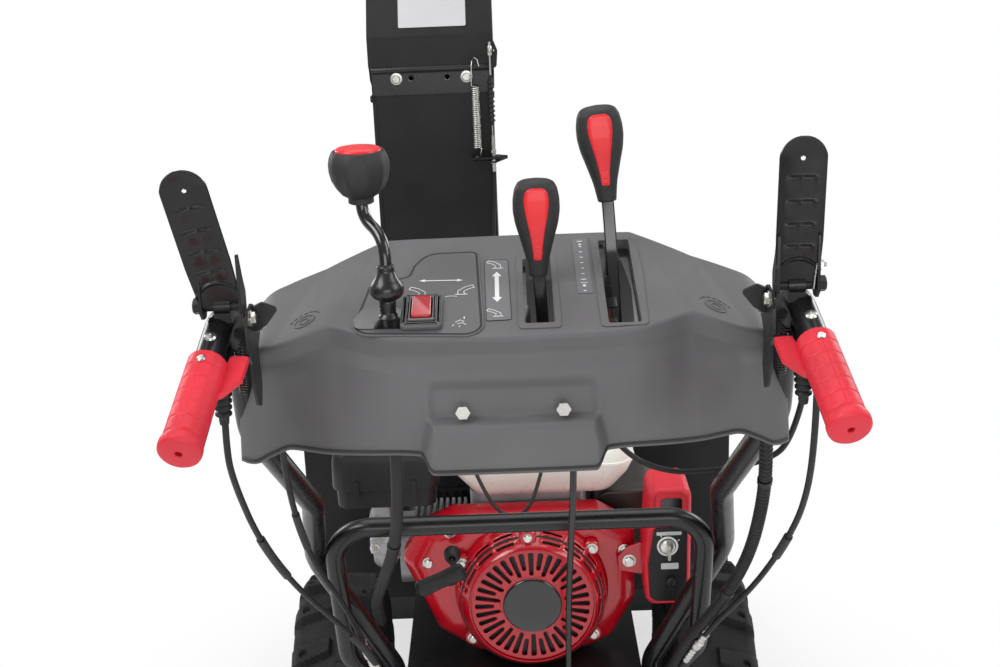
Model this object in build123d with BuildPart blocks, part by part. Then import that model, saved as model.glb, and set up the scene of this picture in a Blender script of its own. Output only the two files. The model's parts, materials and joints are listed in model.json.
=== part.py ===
from build123d import *
import os
from math import atan2, cos, degrees, pi, radians, sin, tan

# ------------------------------------------------------------------ driving dimensions, mm
# Wheels: 15 x 5.00-6 tyres on an axle through the origin's vertical line
tyre_radius = 190
tyre_width = 125
tyre_side_wall = 9
lug_height = 14
lug_count = 16
rim_radius = 80
rim_wall = 3
wheel_track_half = 272
half_shaft_radius = 9.5

# Auger housing and the impeller drum behind it
housing_width = 760
housing_back = 455
housing_front = 757
housing_shoulder = 425
housing_height = 530
housing_sheet = 3
scraper_clearance = 6
scraper_depth = 50
auger_centre_y = 603
auger_centre_z = 185
auger_radius = 140
auger_shaft_radius = 16
auger_ribbon_width = 38
auger_ribbon_thickness = 4
auger_end_gap = 14
drum_depth = 190
drum_radius = 155
impeller_radius = 148
impeller_shaft_radius = 10
blade_count = 4
blade_thickness = 5
worm_wheel_radius = 26
worm_radius = 9
shoe_length = 180
shoe_height = 75
shoe_thickness = 6

# Chute
chute_x = -108
chute_y = 352
collar_radius = 84
chute_width = 184
chute_depth = 150
chute_hinge_height = 1085
chute_sheet = 2.5
deflector_height = 221
chute_rivet_span = 107
chute_rivet_radius = 3
hinge_pin_radius = 1.8
hinge_knuckle_radius = 3.4
hinge_strip = 1.6
spring_radius = 5.5
spring_wire = 1.2
spring_pitch = 5
spring_length = 120
ring_gear_radius = 100
ring_gear_teeth = 44

# Drive case and belt cover
case_half_width = 165
case_rear = -190
case_front = 165
case_bottom = 110
case_top = 317
case_sheet = 3
cover_half_width = 125
cover_bottom = 85
cover_top = 505
cover_sheet = 2.5
friction_disc_radius = 62
friction_wheel_radius = 46
friction_shaft_height = 235
friction_shaft_radius = 8
impeller_pulley_radius = 105
engine_pulley_radius = 38
belt_depth = 10
belt_width = 13

# Engine
crank_x = 15
crank_z = 425
crank_radius = 11
engine_rear = -60
engine_front = 93
engine_top = 548
fan_cover_radius = 106
fan_cover_rear = -165
starter_face_radius = 80
emblem_radius = 39
starter_slots = 36
tank_width = 260
tank_centre_x = 36
tank_height = 95
thin_wall = 2.5
air_box_side = 150
air_box_base = 542
air_box_lid_base = 572
air_box_top = 642
carburettor_width = 40
muffler_width = 96
muffler_height = 130
muffler_length = 126
control_box_width = 66
control_box_height = 195

# Handlebar, guard hoop and grips
bar_radius = 14
bar_bend = 48
hoop_radius = 12.5
hoop_half_width = 237
hoop_top = 603
hoop_y = -271
grip_radius = 20
grip_length = 116
grip_end = (297, -748, 906)
bar_corner = (277, -556, 996)

# Console
console_wall = 3
deck_front_y = -575
deck_front_z = 949
deck_slope = 15.5
joystick_knob_radius = 31
lever_knob_width = 50
lever_knob_length = 100
paddle_width = 44
paddle_length = 145
paddle_sheet = 3

# Cables
cable_radius = 3.5
hose_radius = 7.5
conduit_radius = 7

# Clearances
running_gap = 0.05
moving_gap = 0.5
panel_gap = 1.0

# ------------------------------------------------------------------ derived places
axle_z = tyre_radius
impeller_z = auger_centre_z + worm_wheel_radius + worm_radius + moving_gap
housing_bottom = 16
shoe_bolt_places = (housing_front - 190, housing_front - 95)
drum_back = housing_back - drum_depth
collar_base = impeller_z + drum_radius - 12
collar_top = impeller_z + drum_radius + 30
gearbox_half_width = 34
worm_shaft_radius = 7
friction_disc_y = 110
friction_y = friction_disc_y - moving_gap - friction_wheel_radius
friction_start_x = 42
chute_back = chute_y - chute_depth / 2
chute_rivet_z = chute_hinge_height + 7
hinge_pin_z = chute_hinge_height + 21
hinge_pin_y = chute_back - hinge_knuckle_radius - 0.1
# Knuckle spans along the deflector's hinge, from the chute's middle
chute_knuckles = [(-88, -60), (-14, 14), (80, 88)]
deflector_knuckles = [(-58, -16), (16, 48)]
air_box_x = -184
air_box_y = -12
carburettor_x = -195
carburettor_y = -30
carburettor_base = 430
muffler_x = 156
muffler_z = 470
muffler_front_y = 92
control_x = 202
control_back = -75
control_depth = 76
key_radius = 11
button_radius = 7
handle_y = -228
engine_base = case_top + panel_gap
belt_y = (case_front + drum_back) / 2
deck_tilt = radians(deck_slope)
X_DIR = (1, 0, 0)

# From the grip's end to the foot bolted to the drive case, right-hand side
handlebar_points = [
    grip_end,
    bar_corner,
    (280, -500, 830),
    (245, -345, 672),
    (266, -232, 545),
    (case_half_width + bar_radius, -150, 330),
    (case_half_width + bar_radius, -130, 190),
]
handlebar_bends = [bar_bend, 60, 70, 90, 60]
# From the foot bolted to the drive case to the guard's top corner, right-hand side
hoop_points = [
    (case_half_width + hoop_radius, case_rear + 20, 200),
    (case_half_width + hoop_radius, case_rear + 14, 290),
    (232, -238, 400),
    (hoop_half_width, hoop_y, hoop_top),
]
bracket_z = 966
cable_x = chute_x + 90
cable_y = chute_back - 13
deflector_cable_route = [
    (cable_x, cable_y, 1132),
    (cable_x + 1, cable_y, 1045),
    (cable_x, cable_y, 958),
    (cable_x - 5, cable_y + 1, 860),
    (cable_x - 7, cable_y + 3, 770),
    (cable_x - 18, cable_y + 4, 680),
    (cable_x - 50, cable_y + 1, 600),
]

joystick_ball_radius = 14
joystick_bend = [(-126, -520, 1040), (-146, -500, 1056), (-146, -500, 1078)]
bump_bolt_reach = 50
bump_bolt_z = 878
# Routes of the cables that the machine holds at both ends
cable_routes = {
    "left_drive_cable": (
        [(-283, -600, 915), (-288, -596, 850), (-291, -560, 795), (-285, -486, 692), (-262, -405, 590),
         (-222, -318, 486), (-192, -266, 410), (-180, -244, 345)],
        cable_radius,
    ),
    "left_steering_cable": (
        [(-246, -520, 850), (-249, -500, 790), (-252, -432, 690), (-245, -366, 598), (-226, -305, 520),
         (-204, -276, 440), (-190, -262, 372)],
        cable_radius,
    ),
    "throttle_hose": (
        [(-128, -450, 868), (-133, -430, 800), (-138, -395, 700), (-150, -345, 612), (-172, -308, 545),
         (-190, -262, 490), (-188, -215, 440)],
        hose_radius,
    ),
    "shift_rod": (
        [(66, -445, 866), (66, -432, 745), (62, -330, 578), (60, -262, 450), (60, -220, 340)],
        4,
    ),
    "harness_conduit": (
        [(262, -525, 860), (266, -518, 798), (273, -468, 712), (269, -398, 604), (242, -322, 497),
         (202, -278, 420), (188, -252, 352)],
        conduit_radius,
    ),
    "right_drive_cable": (
        [(296, -612, 915), (299, -600, 848), (305, -540, 745), (297, -470, 658), (276, -380, 555),
         (232, -306, 458), (202, -268, 380)],
        cable_radius,
    ),
    "right_steering_cable": (
        [(312, -470, 830), (309, -432, 764), (288, -382, 722), (240, -330, 690), (182, -298, 676),
         (128, -292, 704), (96, -300, 760)],
        cable_radius,
    ),
}
grip_wall = 5
paddle_along = 172
pivot_lift = bar_radius + 9
paddle_back = {"left": 12, "right": 2}
pivot_across = -6
lug_half_width = 8
pin_radius = 4
trigger_drop = bar_radius + 12
paddle_lean = {"left": 9, "right": 1}
os.makedirs("parts", exist_ok=True)
kept = []


def keep(piece, node):
    piece.part.label = node
    export_step(piece.part, f"parts/{node}.step")
    kept.append(node)


def side_plane(x, y, z):
    """A plane across the machine: local x runs along +X, local y along +Z, facing the rear."""
    return Plane(origin=(x, y, z), x_dir=X_DIR, z_dir=(0, -1, 0))


def profile_plane(x, outward=1):
    """A plane seen from the side: local x runs along +Y (times outward), local y along +Z."""
    return Plane(origin=(x, 0, 0), x_dir=(0, outward, 0), z_dir=(outward, 0, 0))


def deck_z(y):
    return deck_front_z + (y - deck_front_y) * tan(deck_tilt)


def deck_plane(x, y, lift=0):
    """A plane on the console's sloping deck at a plan position, lifted along its normal."""
    normal = Vector(0, -sin(deck_tilt), cos(deck_tilt))
    spot = Vector(x, y, deck_z(y)) + normal * lift
    return Plane(origin=spot, x_dir=X_DIR, z_dir=normal)


def mirrored(point, side):
    return (side * point[0], point[1], point[2])


def bend_radii(points):
    """The largest arcs that the runs of a route allow, one for each corner."""
    spots = [Vector(*point) for point in points]
    radii = []
    for before, corner, after in zip(spots, spots[1:], spots[2:]):
        first = corner - before
        second = after - corner
        half_turn = radians(first.get_angle(second)) / 2
        radii.append(0.45 * min(first.length, second.length) / tan(half_turn))
    return radii


def tube(points, radius, radii, bore=0):
    """A round tube along straight runs joined by arcs."""
    with BuildPart() as pipe:
        with BuildLine() as route:
            FilletPolyline(*points, radius=radii)
        with BuildSketch(Plane(origin=route.line @ 0, z_dir=route.line % 0)):
            Circle(radius)
            if bore:
                Circle(bore, mode=Mode.SUBTRACT)
        sweep()
    return pipe


def slack_tube(points, radius):
    return tube(points, radius, bend_radii(points))


# ------------------------------------------------------------------ wheels
def tyre(side):
    centre = (side * wheel_track_half, 0, axle_z)
    axis = Axis(centre, X_DIR)
    half = tyre_width / 2
    crown = tyre_radius - lug_height
    with BuildPart() as piece:
        with BuildSketch(side_plane(*centre)):
            with Locations((0, (crown + rim_radius) / 2)):
                RectangleRounded(tyre_width, crown - rim_radius, 24)
            with Locations((0, rim_radius + 22)):
                RectangleRounded(tyre_width - 2 * tyre_side_wall, 70, 20, mode=Mode.SUBTRACT)
            with Locations((0, rim_radius)):
                Rectangle(tyre_width - 50, 30, mode=Mode.SUBTRACT)
        revolve(axis=axis)
        planes_in = []
        planes_out = []
        for step in range(lug_count):
            turn = 2 * pi * step / lug_count
            for planes, shift in ((planes_in, 0), (planes_out, pi / lug_count)):
                out = Vector(0, sin(turn + shift + pi), cos(turn + shift + pi))
                planes.append(Plane(origin=Vector(*centre) + out * (tyre_radius + 4), x_dir=X_DIR, z_dir=out))
        for planes, reach in ((planes_in, -1), (planes_out, 1)):
            with BuildSketch(*planes):
                with BuildLine():
                    Polyline((reach * 4, -16), (reach * half, -2), (reach * half, 22), (reach * 4, 8), close=True)
                make_face()
            extrude(amount=-lug_height - 12)
        with BuildSketch(Plane(origin=centre, x_dir=(0, 1, 0), z_dir=X_DIR)):
            Circle(tyre_radius)
        extrude(amount=half, both=True, mode=Mode.INTERSECT)
        with BuildSketch(Plane(origin=centre, x_dir=(0, 1, 0), z_dir=X_DIR)):
            Circle(rim_radius)
        extrude(amount=half, both=True, mode=Mode.SUBTRACT)
    return piece


def rim(side):
    centre = (side * wheel_track_half, 0, axle_z)
    flange = tyre_width / 2 - 4
    with BuildPart() as piece:
        with BuildSketch(side_plane(*centre)):
            with Locations((0, rim_radius - rim_wall / 2)):
                Rectangle(2 * flange, rim_wall)
            with Locations((-side * 6, rim_radius / 2)):
                Rectangle(rim_wall, rim_radius)
            with Locations((0, 17)):
                Rectangle(2 * flange - 20, 12)
        revolve(axis=Axis(centre, X_DIR))
        with BuildSketch(Plane(origin=centre, x_dir=(0, 1, 0), z_dir=X_DIR)):
            Circle(half_shaft_radius)
            with PolarLocations(rim_radius * 0.62, 4):
                Circle(11)
        extrude(amount=tyre_width, both=True, mode=Mode.SUBTRACT)
    return piece


def half_shaft(side):
    with BuildPart() as piece:
        with BuildSketch(Plane(origin=(side * 60, 0, axle_z), x_dir=(0, 1, 0), z_dir=(side, 0, 0))):
            Circle(half_shaft_radius)
        extrude(amount=wheel_track_half + tyre_width / 2 - 60)
        chamfer(piece.edges().filter_by(GeomType.CIRCLE), 1.5)
    return piece


for side, word in ((-1, "left"), (1, "right")):
    keep(tyre(side), f"tyre_{word}")
    keep(rim(side), f"rim_{word}")
    keep(half_shaft(side), f"half_shaft_{word}")


# ------------------------------------------------------------------ auger housing
def housing_outline(inset, front):
    """The housing's side view: open front, round back low down, shoulder sloping to the roof."""
    bottom = housing_bottom + inset
    back = housing_back + inset
    return [
        (front, bottom),
        (auger_centre_y, bottom),
        (back + 60, bottom + 22),
        (back, bottom + 100),
        (back, housing_shoulder - 0.4 * inset),
        (back + 85, housing_height - inset),
        (front - 40 - inset, housing_height - inset),
        (front, housing_height - 130),
    ]


with BuildPart() as auger_housing:
    with BuildSketch(profile_plane(0)):
        with BuildLine():
            Polyline(*housing_outline(0, housing_front), close=True)
        make_face()
    extrude(amount=housing_width / 2, both=True)
    with BuildSketch(profile_plane(0)):
        with BuildLine():
            Polyline(*housing_outline(housing_sheet, housing_front + 60), close=True)
        make_face()
    extrude(amount=housing_width / 2 - housing_sheet, both=True, mode=Mode.SUBTRACT)
    with BuildSketch(side_plane(0, housing_back - 5, impeller_z)):
        Circle(drum_radius - housing_sheet)
    extrude(amount=-80, mode=Mode.SUBTRACT)
    with BuildSketch(profile_plane(0)):
        with Locations((auger_centre_y, auger_centre_z)):
            Circle(auger_shaft_radius + 8)
    extrude(amount=housing_width, both=True, mode=Mode.SUBTRACT)
keep(auger_housing, "auger_housing")

with BuildPart() as impeller_drum:
    with BuildSketch(side_plane(0, housing_back, impeller_z)):
        Circle(drum_radius)
    extrude(amount=drum_depth)
    with BuildSketch(Plane.XY.offset(impeller_z)):
        with Locations((chute_x, chute_y)):
            Circle(collar_radius - chute_sheet)
    extrude(amount=collar_base - impeller_z)
    with BuildSketch(Plane.XY.offset(collar_base)):
        with Locations((chute_x, chute_y)):
            Circle(collar_radius - chute_sheet)
    extrude(amount=collar_top - collar_base - 6)
    with BuildSketch(Plane.XY.offset(collar_top - 26)):
        with Locations((chute_x, chute_y)):
            Circle(collar_radius + 11)
    extrude(amount=8)
    with BuildSketch(Plane.XY.offset(collar_top - 18)):
        with Locations((chute_x, chute_y)):
            Circle(collar_radius - chute_sheet)
    extrude(amount=18)
    with BuildSketch(side_plane(0, housing_back + 1, impeller_z)):
        Circle(drum_radius - housing_sheet)
    extrude(amount=drum_depth - housing_sheet + 1, mode=Mode.SUBTRACT)
    with BuildSketch(Plane.XY.offset(impeller_z)):
        with Locations((chute_x, chute_y)):
            Circle(collar_radius - 2 * chute_sheet)
    extrude(amount=300, mode=Mode.SUBTRACT)
    with BuildSketch(side_plane(0, housing_back, impeller_z)):
        Circle(impeller_shaft_radius + 12)
    extrude(amount=drum_depth + 10, mode=Mode.SUBTRACT)
keep(impeller_drum, "impeller_drum")

with BuildPart() as scraper_bar:
    with BuildSketch(profile_plane(0)):
        with Locations((housing_front - scraper_depth / 2 - 1, housing_bottom - 2.5)):
            Rectangle(scraper_depth, 5)
    extrude(amount=housing_width / 2 - 4, both=True)
keep(scraper_bar, "scraper_bar")

with BuildPart() as skid_shoes:
    for side in (-1, 1):
        with BuildSketch(profile_plane(side * (housing_width / 2))):
            with BuildLine():
                Polyline(
                    (housing_front - 60, 0),
                    (housing_front - 60 - shoe_length + 60, 0),
                    (housing_front - 60 - shoe_length, 35),
                    (housing_front - 60 - shoe_length, shoe_height),
                    (housing_front - 40, shoe_height),
                    (housing_front - 25, 25),
                    close=True,
                )
            make_face()
            with Locations(*[(y, shoe_height - 22) for y in shoe_bolt_places]):
                SlotOverall(26, 9, rotation=90, mode=Mode.SUBTRACT)
        extrude(amount=side * shoe_thickness)
keep(skid_shoes, "skid_shoes")


# ------------------------------------------------------------------ auger and impeller
with BuildPart() as auger_shaft:
    with BuildSketch(Plane.YZ):
        with Locations((auger_centre_y, auger_centre_z)):
            Circle(auger_shaft_radius)
    extrude(amount=housing_width / 2 + 2, both=True)
    with BuildSketch(Plane.YZ):
        with Locations((auger_centre_y, auger_centre_z)):
            Circle(worm_wheel_radius)
    extrude(amount=9, both=True)
keep(auger_shaft, "auger_shaft")


def auger_flight(side):
    """One half of the auger: a helical ribbon on arms, its hand throwing snow to the middle."""
    inner = gearbox_half_width + 12
    outer = housing_width / 2 - housing_sheet - auger_end_gap
    start = Vector(side * inner, auger_centre_y, auger_centre_z)
    run = outer - inner - auger_ribbon_thickness
    middle = auger_radius - auger_ribbon_width / 2
    pitch = run / 1.25
    with BuildPart() as piece:
        with BuildLine() as route:
            Helix(pitch=pitch, height=run, radius=middle, center=start, direction=(side, 0, 0), lefthand=side > 0)
        begin = route.line @ 0
        radial = (begin - start).normalized()
        ribbon_plane = Plane(origin=begin, x_dir=radial, z_dir=route.line % 0)
        with BuildSketch(ribbon_plane):
            Rectangle(auger_ribbon_width, auger_ribbon_thickness)
        sweep(is_frenet=True)
        for share in (0.02, 0.27, 0.52, 0.77, 0.98):
            spot = route.line @ share
            foot = Vector(spot.X, auger_centre_y, auger_centre_z)
            outward = (spot - foot).normalized()
            with BuildSketch(Plane(origin=foot, x_dir=X_DIR, z_dir=outward)):
                Rectangle(26, 7)
            extrude(amount=auger_radius - auger_ribbon_width + 6)
        with BuildSketch(Plane(origin=(side * (inner - 6), 0, 0), x_dir=(0, 1, 0), z_dir=X_DIR)):
            with Locations((auger_centre_y, auger_centre_z)):
                Circle(auger_shaft_radius + 5)
        extrude(amount=side * (outer - inner + 4))
        with BuildSketch(Plane.YZ):
            with Locations((auger_centre_y, auger_centre_z)):
                Circle(auger_shaft_radius)
        extrude(amount=side * housing_width, mode=Mode.SUBTRACT)
    return piece


for side, word in ((-1, "left"), (1, "right")):
    keep(auger_flight(side), f"auger_flight_{word}")

with BuildPart() as auger_gearbox:
    reach = worm_wheel_radius + 10
    with BuildSketch(profile_plane(0)):
        with Locations((auger_centre_y, auger_centre_z)):
            Circle(reach)
        with Locations((auger_centre_y - 8, impeller_z)):
            RectangleRounded(2 * reach - 4, 2 * (worm_radius + 10), 8)
        with Locations((auger_centre_y - 4, (auger_centre_z + impeller_z) / 2)):
            Rectangle(2 * reach - 12, impeller_z - auger_centre_z)
    extrude(amount=gearbox_half_width, both=True)
    with BuildSketch(profile_plane(0)):
        with Locations((auger_centre_y, auger_centre_z)):
            Circle(worm_wheel_radius + 2)
    extrude(amount=gearbox_half_width - 12, both=True, mode=Mode.SUBTRACT)
    with BuildSketch(profile_plane(0)):
        with Locations((auger_centre_y, auger_centre_z)):
            Circle(auger_shaft_radius + running_gap)
    extrude(amount=housing_width, both=True, mode=Mode.SUBTRACT)
    with BuildSketch(side_plane(0, auger_centre_y + 18, impeller_z)):
        Circle(worm_radius + 2)
    extrude(amount=36, mode=Mode.SUBTRACT)
    with BuildSketch(side_plane(0, auger_centre_y + 26, impeller_z)):
        Circle(worm_shaft_radius + running_gap)
    extrude(amount=100, mode=Mode.SUBTRACT)
keep(auger_gearbox, "auger_gearbox")

with BuildPart() as impeller_shaft:
    with BuildSketch(side_plane(0, auger_centre_y + 25, impeller_z)):
        Circle(worm_shaft_radius)
    extrude(amount=auger_centre_y + 25 - housing_back)
    with BuildSketch(side_plane(0, auger_centre_y + 15, impeller_z)):
        Circle(worm_radius)
    extrude(amount=30)
    with BuildSketch(side_plane(0, housing_back, impeller_z)):
        Circle(impeller_shaft_radius)
    extrude(amount=housing_back - case_front - 8)
keep(impeller_shaft, "impeller_shaft")

with BuildPart() as impeller:
    hub_start = housing_back - 14
    with BuildSketch(side_plane(0, hub_start, impeller_z)):
        Circle(impeller_shaft_radius + 8)
        for turn in range(blade_count):
            with Locations(Location((0, 0), 360 * turn / blade_count)):
                with Locations(((impeller_radius + impeller_shaft_radius) / 2, 0)):
                    Rectangle(impeller_radius - impeller_shaft_radius, blade_thickness)
    extrude(amount=drum_depth - 34)
    with BuildSketch(side_plane(0, hub_start, impeller_z)):
        Circle(impeller_shaft_radius)
    extrude(amount=drum_depth, mode=Mode.SUBTRACT)
keep(impeller, "impeller")


# ------------------------------------------------------------------ belts and pulleys
def pulley(x, z, radius, bore, grooves):
    """A V-belt pulley across the belt line, one groove per belt."""
    width = grooves * (belt_width + 6)
    with BuildPart() as piece:
        with BuildSketch(Plane(origin=(x, belt_y, z), x_dir=(0, 1, 0), z_dir=(-1, 0, 0))):
            with Locations((0, radius / 2 + 4)):
                Rectangle(width, radius + 8)
            for groove in range(grooves):
                middle = (groove - (grooves - 1) / 2) * (belt_width + 6)
                with Locations((middle, radius + 9 - belt_depth / 2)):
                    Rectangle(belt_width + 2 * moving_gap, belt_depth + 10, mode=Mode.SUBTRACT)
        revolve(axis=Axis((x, belt_y, z), (0, 1, 0)))
        if radius > 60:
            for face, turn in ((belt_y - width / 2, -1), (belt_y + width / 2, 1)):
                with BuildSketch(side_plane(x, face, z)):
                    Circle(radius - 16)
                    Circle(bore + 14, mode=Mode.SUBTRACT)
                extrude(amount=turn * (width / 2 - 4), mode=Mode.SUBTRACT)
        with BuildSketch(side_plane(x, belt_y + width, z)):
            Circle(bore)
        extrude(amount=2 * width, mode=Mode.SUBTRACT)
    return piece


keep(pulley(0, impeller_z, impeller_pulley_radius, impeller_shaft_radius, 2), "impeller_pulley")
engine_pulley = pulley(crank_x, crank_z, engine_pulley_radius, crank_radius, 2)

with BuildPart() as drive_belts:
    floor = 9 - belt_depth + 1.5
    for middle in (-0.5, 0.5):
        station = belt_y + middle * (belt_width + 6)
        with BuildSketch(side_plane(0, station + belt_width / 2, 0)):
            with Locations((0, impeller_z)):
                Circle(impeller_pulley_radius + floor + belt_depth - 3)
            with Locations((crank_x, crank_z)):
                Circle(engine_pulley_radius + floor + belt_depth - 3)
            make_hull()
        extrude(amount=belt_width)
        with BuildSketch(side_plane(0, station + belt_width / 2, 0)):
            with Locations((0, impeller_z)):
                Circle(impeller_pulley_radius + floor)
            with Locations((crank_x, crank_z)):
                Circle(engine_pulley_radius + floor)
            make_hull()
        extrude(amount=belt_width, mode=Mode.SUBTRACT)
keep(drive_belts, "drive_belts")


# ------------------------------------------------------------------ drive case
with BuildPart() as drive_case:
    case_depth = case_front - case_rear
    case_middle = (case_front + case_rear) / 2
    with BuildSketch(Plane.XY.offset(case_bottom)):
        with Locations((0, case_middle)):
            Rectangle(2 * case_half_width, case_depth)
    extrude(amount=case_top - case_bottom)
    fillet(drive_case.edges().filter_by(Axis.Z), 12)
    with BuildSketch(Plane.XY.offset(case_bottom)):
        with Locations((0, case_middle)):
            Rectangle(2 * (case_half_width - case_sheet), case_depth - 2 * case_sheet)
    extrude(amount=case_top - case_bottom - case_sheet, mode=Mode.SUBTRACT)
    with BuildSketch(profile_plane(0)):
        with Locations((0, axle_z)):
            Circle(half_shaft_radius + 7)
        with Locations((friction_y, friction_shaft_height)):
            Circle(friction_shaft_radius)
    extrude(amount=housing_width, both=True, mode=Mode.SUBTRACT)
    with BuildSketch(side_plane(0, case_front + 5, impeller_z)):
        Circle(impeller_shaft_radius + 7)
    extrude(amount=20, mode=Mode.SUBTRACT)
keep(drive_case, "drive_case")


with BuildPart() as shaft_bearings:
    for side in (-1, 1):
        for outer, start, length in ((half_shaft_radius + 7, 0, 14), (half_shaft_radius + 13, 10, 4)):
            inside = side * (case_half_width - 10 + start)
            with BuildSketch(Plane(origin=(inside, 0, axle_z), x_dir=(0, 1, 0), z_dir=(side, 0, 0))):
                Circle(outer)
                Circle(half_shaft_radius + running_gap, mode=Mode.SUBTRACT)
            extrude(amount=length)
        end = side * (housing_width / 2 - housing_sheet - 5)
        with BuildSketch(Plane(origin=(end, auger_centre_y, auger_centre_z), x_dir=(0, 1, 0), z_dir=(side, 0, 0))):
            Circle(auger_shaft_radius + 8)
            Circle(auger_shaft_radius + running_gap, mode=Mode.SUBTRACT)
        extrude(amount=housing_sheet + 5)
    for y, radius in ((drum_back + housing_sheet, 12), (case_front, 7)):
        with BuildSketch(side_plane(0, y, impeller_z)):
            Circle(impeller_shaft_radius + radius)
            Circle(impeller_shaft_radius + running_gap, mode=Mode.SUBTRACT)
        extrude(amount=housing_sheet)
keep(shaft_bearings, "shaft_bearings")

with BuildPart() as friction_shaft:
    with BuildSketch(Plane(origin=(-case_half_width, friction_y, friction_shaft_height), z_dir=X_DIR)):
        Circle(friction_shaft_radius)
    extrude(amount=2 * case_half_width)
keep(friction_shaft, "friction_shaft")

with BuildPart() as friction_wheel:
    start = friction_start_x - 9
    with BuildSketch(Plane(origin=(start, friction_y, friction_shaft_height), z_dir=X_DIR)):
        Circle(friction_wheel_radius)
        Circle(friction_shaft_radius + running_gap, mode=Mode.SUBTRACT)
    extrude(amount=9)
    with BuildSketch(Plane(origin=(start, friction_y, friction_shaft_height), z_dir=X_DIR)):
        Circle(friction_shaft_radius + 9)
        Circle(friction_shaft_radius + running_gap, mode=Mode.SUBTRACT)
    extrude(amount=22)
keep(friction_wheel, "friction_wheel")

with BuildPart() as friction_disc:
    with BuildSketch(side_plane(0, friction_disc_y + 8, friction_shaft_height)):
        Circle(friction_disc_radius)
    extrude(amount=8)
    with BuildSketch(side_plane(0, case_front - case_sheet - 1, friction_shaft_height)):
        Circle(11)
    extrude(amount=case_front - case_sheet - 1 - friction_disc_y - 4)
keep(friction_disc, "friction_disc")

with BuildPart() as belt_cover:
    cover_depth = drum_back - 1 - case_front
    top_radius = cover_half_width - 30
    for inset, mode, near, far in (
        (0, Mode.ADD, case_front, drum_back - 1),
        (cover_sheet, Mode.SUBTRACT, case_front + cover_sheet, drum_back + 20),
    ):
        with BuildSketch(side_plane(0, far, 0)):
            with Locations((0, impeller_z)):
                Circle(cover_half_width + 5 - inset)
            with Locations((crank_x, crank_z)):
                Circle(engine_pulley_radius + 18 - inset)
            make_hull()
        extrude(amount=far - near, mode=mode)
    with BuildSketch(side_plane(0, case_front + 10, 0)):
        with Locations((0, impeller_z)):
            Circle(impeller_shaft_radius + 7)
        with Locations((crank_x, crank_z)):
            Circle(crank_radius + 4)
    extrude(amount=20, mode=Mode.SUBTRACT)
keep(belt_cover, "belt_cover")


# ------------------------------------------------------------------ chute
with BuildPart() as chute:
    funnel_top = collar_top + 130
    for inset, mode in ((0, Mode.ADD), (chute_sheet, Mode.SUBTRACT)):
        foot = collar_radius - inset
        with BuildSketch(Plane.XY.offset(collar_top + panel_gap)):
            with Locations((chute_x, chute_y)):
                RectangleRounded(2 * foot, 2 * foot, foot - 2)
        with BuildSketch(Plane.XY.offset(funnel_top)):
            with Locations((chute_x, chute_y)):
                RectangleRounded(chute_width - 2 * inset, chute_depth - 2 * inset, 20 - inset)
        loft(mode=mode)
    with BuildSketch(Plane.XY.offset(funnel_top)):
        with Locations((chute_x, chute_y)):
            Rectangle(chute_width, chute_depth)
        with Locations((chute_x, chute_y + chute_sheet)):
            Rectangle(chute_width - 2 * chute_sheet, chute_depth, mode=Mode.SUBTRACT)
    extrude(amount=hinge_pin_z - hinge_knuckle_radius - panel_gap - funnel_top)
    with BuildSketch(Plane.XY.offset(collar_top + panel_gap)):
        with Locations((chute_x, chute_y)):
            Circle(ring_gear_radius - 5)
            with PolarLocations(ring_gear_radius - 5, ring_gear_teeth):
                Rectangle(9, 6)
            Circle(collar_radius - 2 * chute_sheet - 3, mode=Mode.SUBTRACT)
    extrude(amount=8)
    strip_top = hinge_pin_z - hinge_knuckle_radius - panel_gap
    strip_foot = chute_hinge_height - 18
    with BuildSketch(side_plane(chute_x, chute_back, (strip_top + strip_foot) / 2)):
        Rectangle(chute_width - 4, strip_top - strip_foot)
    extrude(amount=hinge_strip)
    with BuildSketch(profile_plane(chute_x + chute_knuckles[0][0])):
        with Locations((hinge_pin_y, hinge_pin_z)):
            Circle(hinge_pin_radius)
    extrude(amount=chute_knuckles[-1][1] - chute_knuckles[0][0])
    for start, end in chute_knuckles:
        with BuildSketch(profile_plane(chute_x + start)):
            with Locations((hinge_pin_y, hinge_pin_z)):
                Circle(hinge_knuckle_radius)
            with Locations((chute_back - hinge_strip / 2, chute_rivet_z + 7)):
                Rectangle(hinge_strip, hinge_pin_z - chute_rivet_z)
        extrude(amount=end - start)
    with BuildSketch(side_plane(chute_x, chute_back - hinge_strip, chute_rivet_z)):
        with Locations((-chute_rivet_span / 2, 0), (chute_rivet_span / 2, 0)):
            Circle(chute_rivet_radius)
        with Locations((-14, 0), (14, 0)):
            Circle(chute_rivet_radius)
    extrude(amount=-chute_depth / 2, mode=Mode.SUBTRACT)
    with BuildSketch(Plane.XY.offset(bracket_z)):
        with Locations((chute_x + 78, chute_back - 10)):
            Rectangle(44, 21)
        with Locations((cable_x, cable_y)):
            Circle(cable_radius + 3 * moving_gap, mode=Mode.SUBTRACT)
    extrude(amount=4)
keep(chute, "chute")

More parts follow.
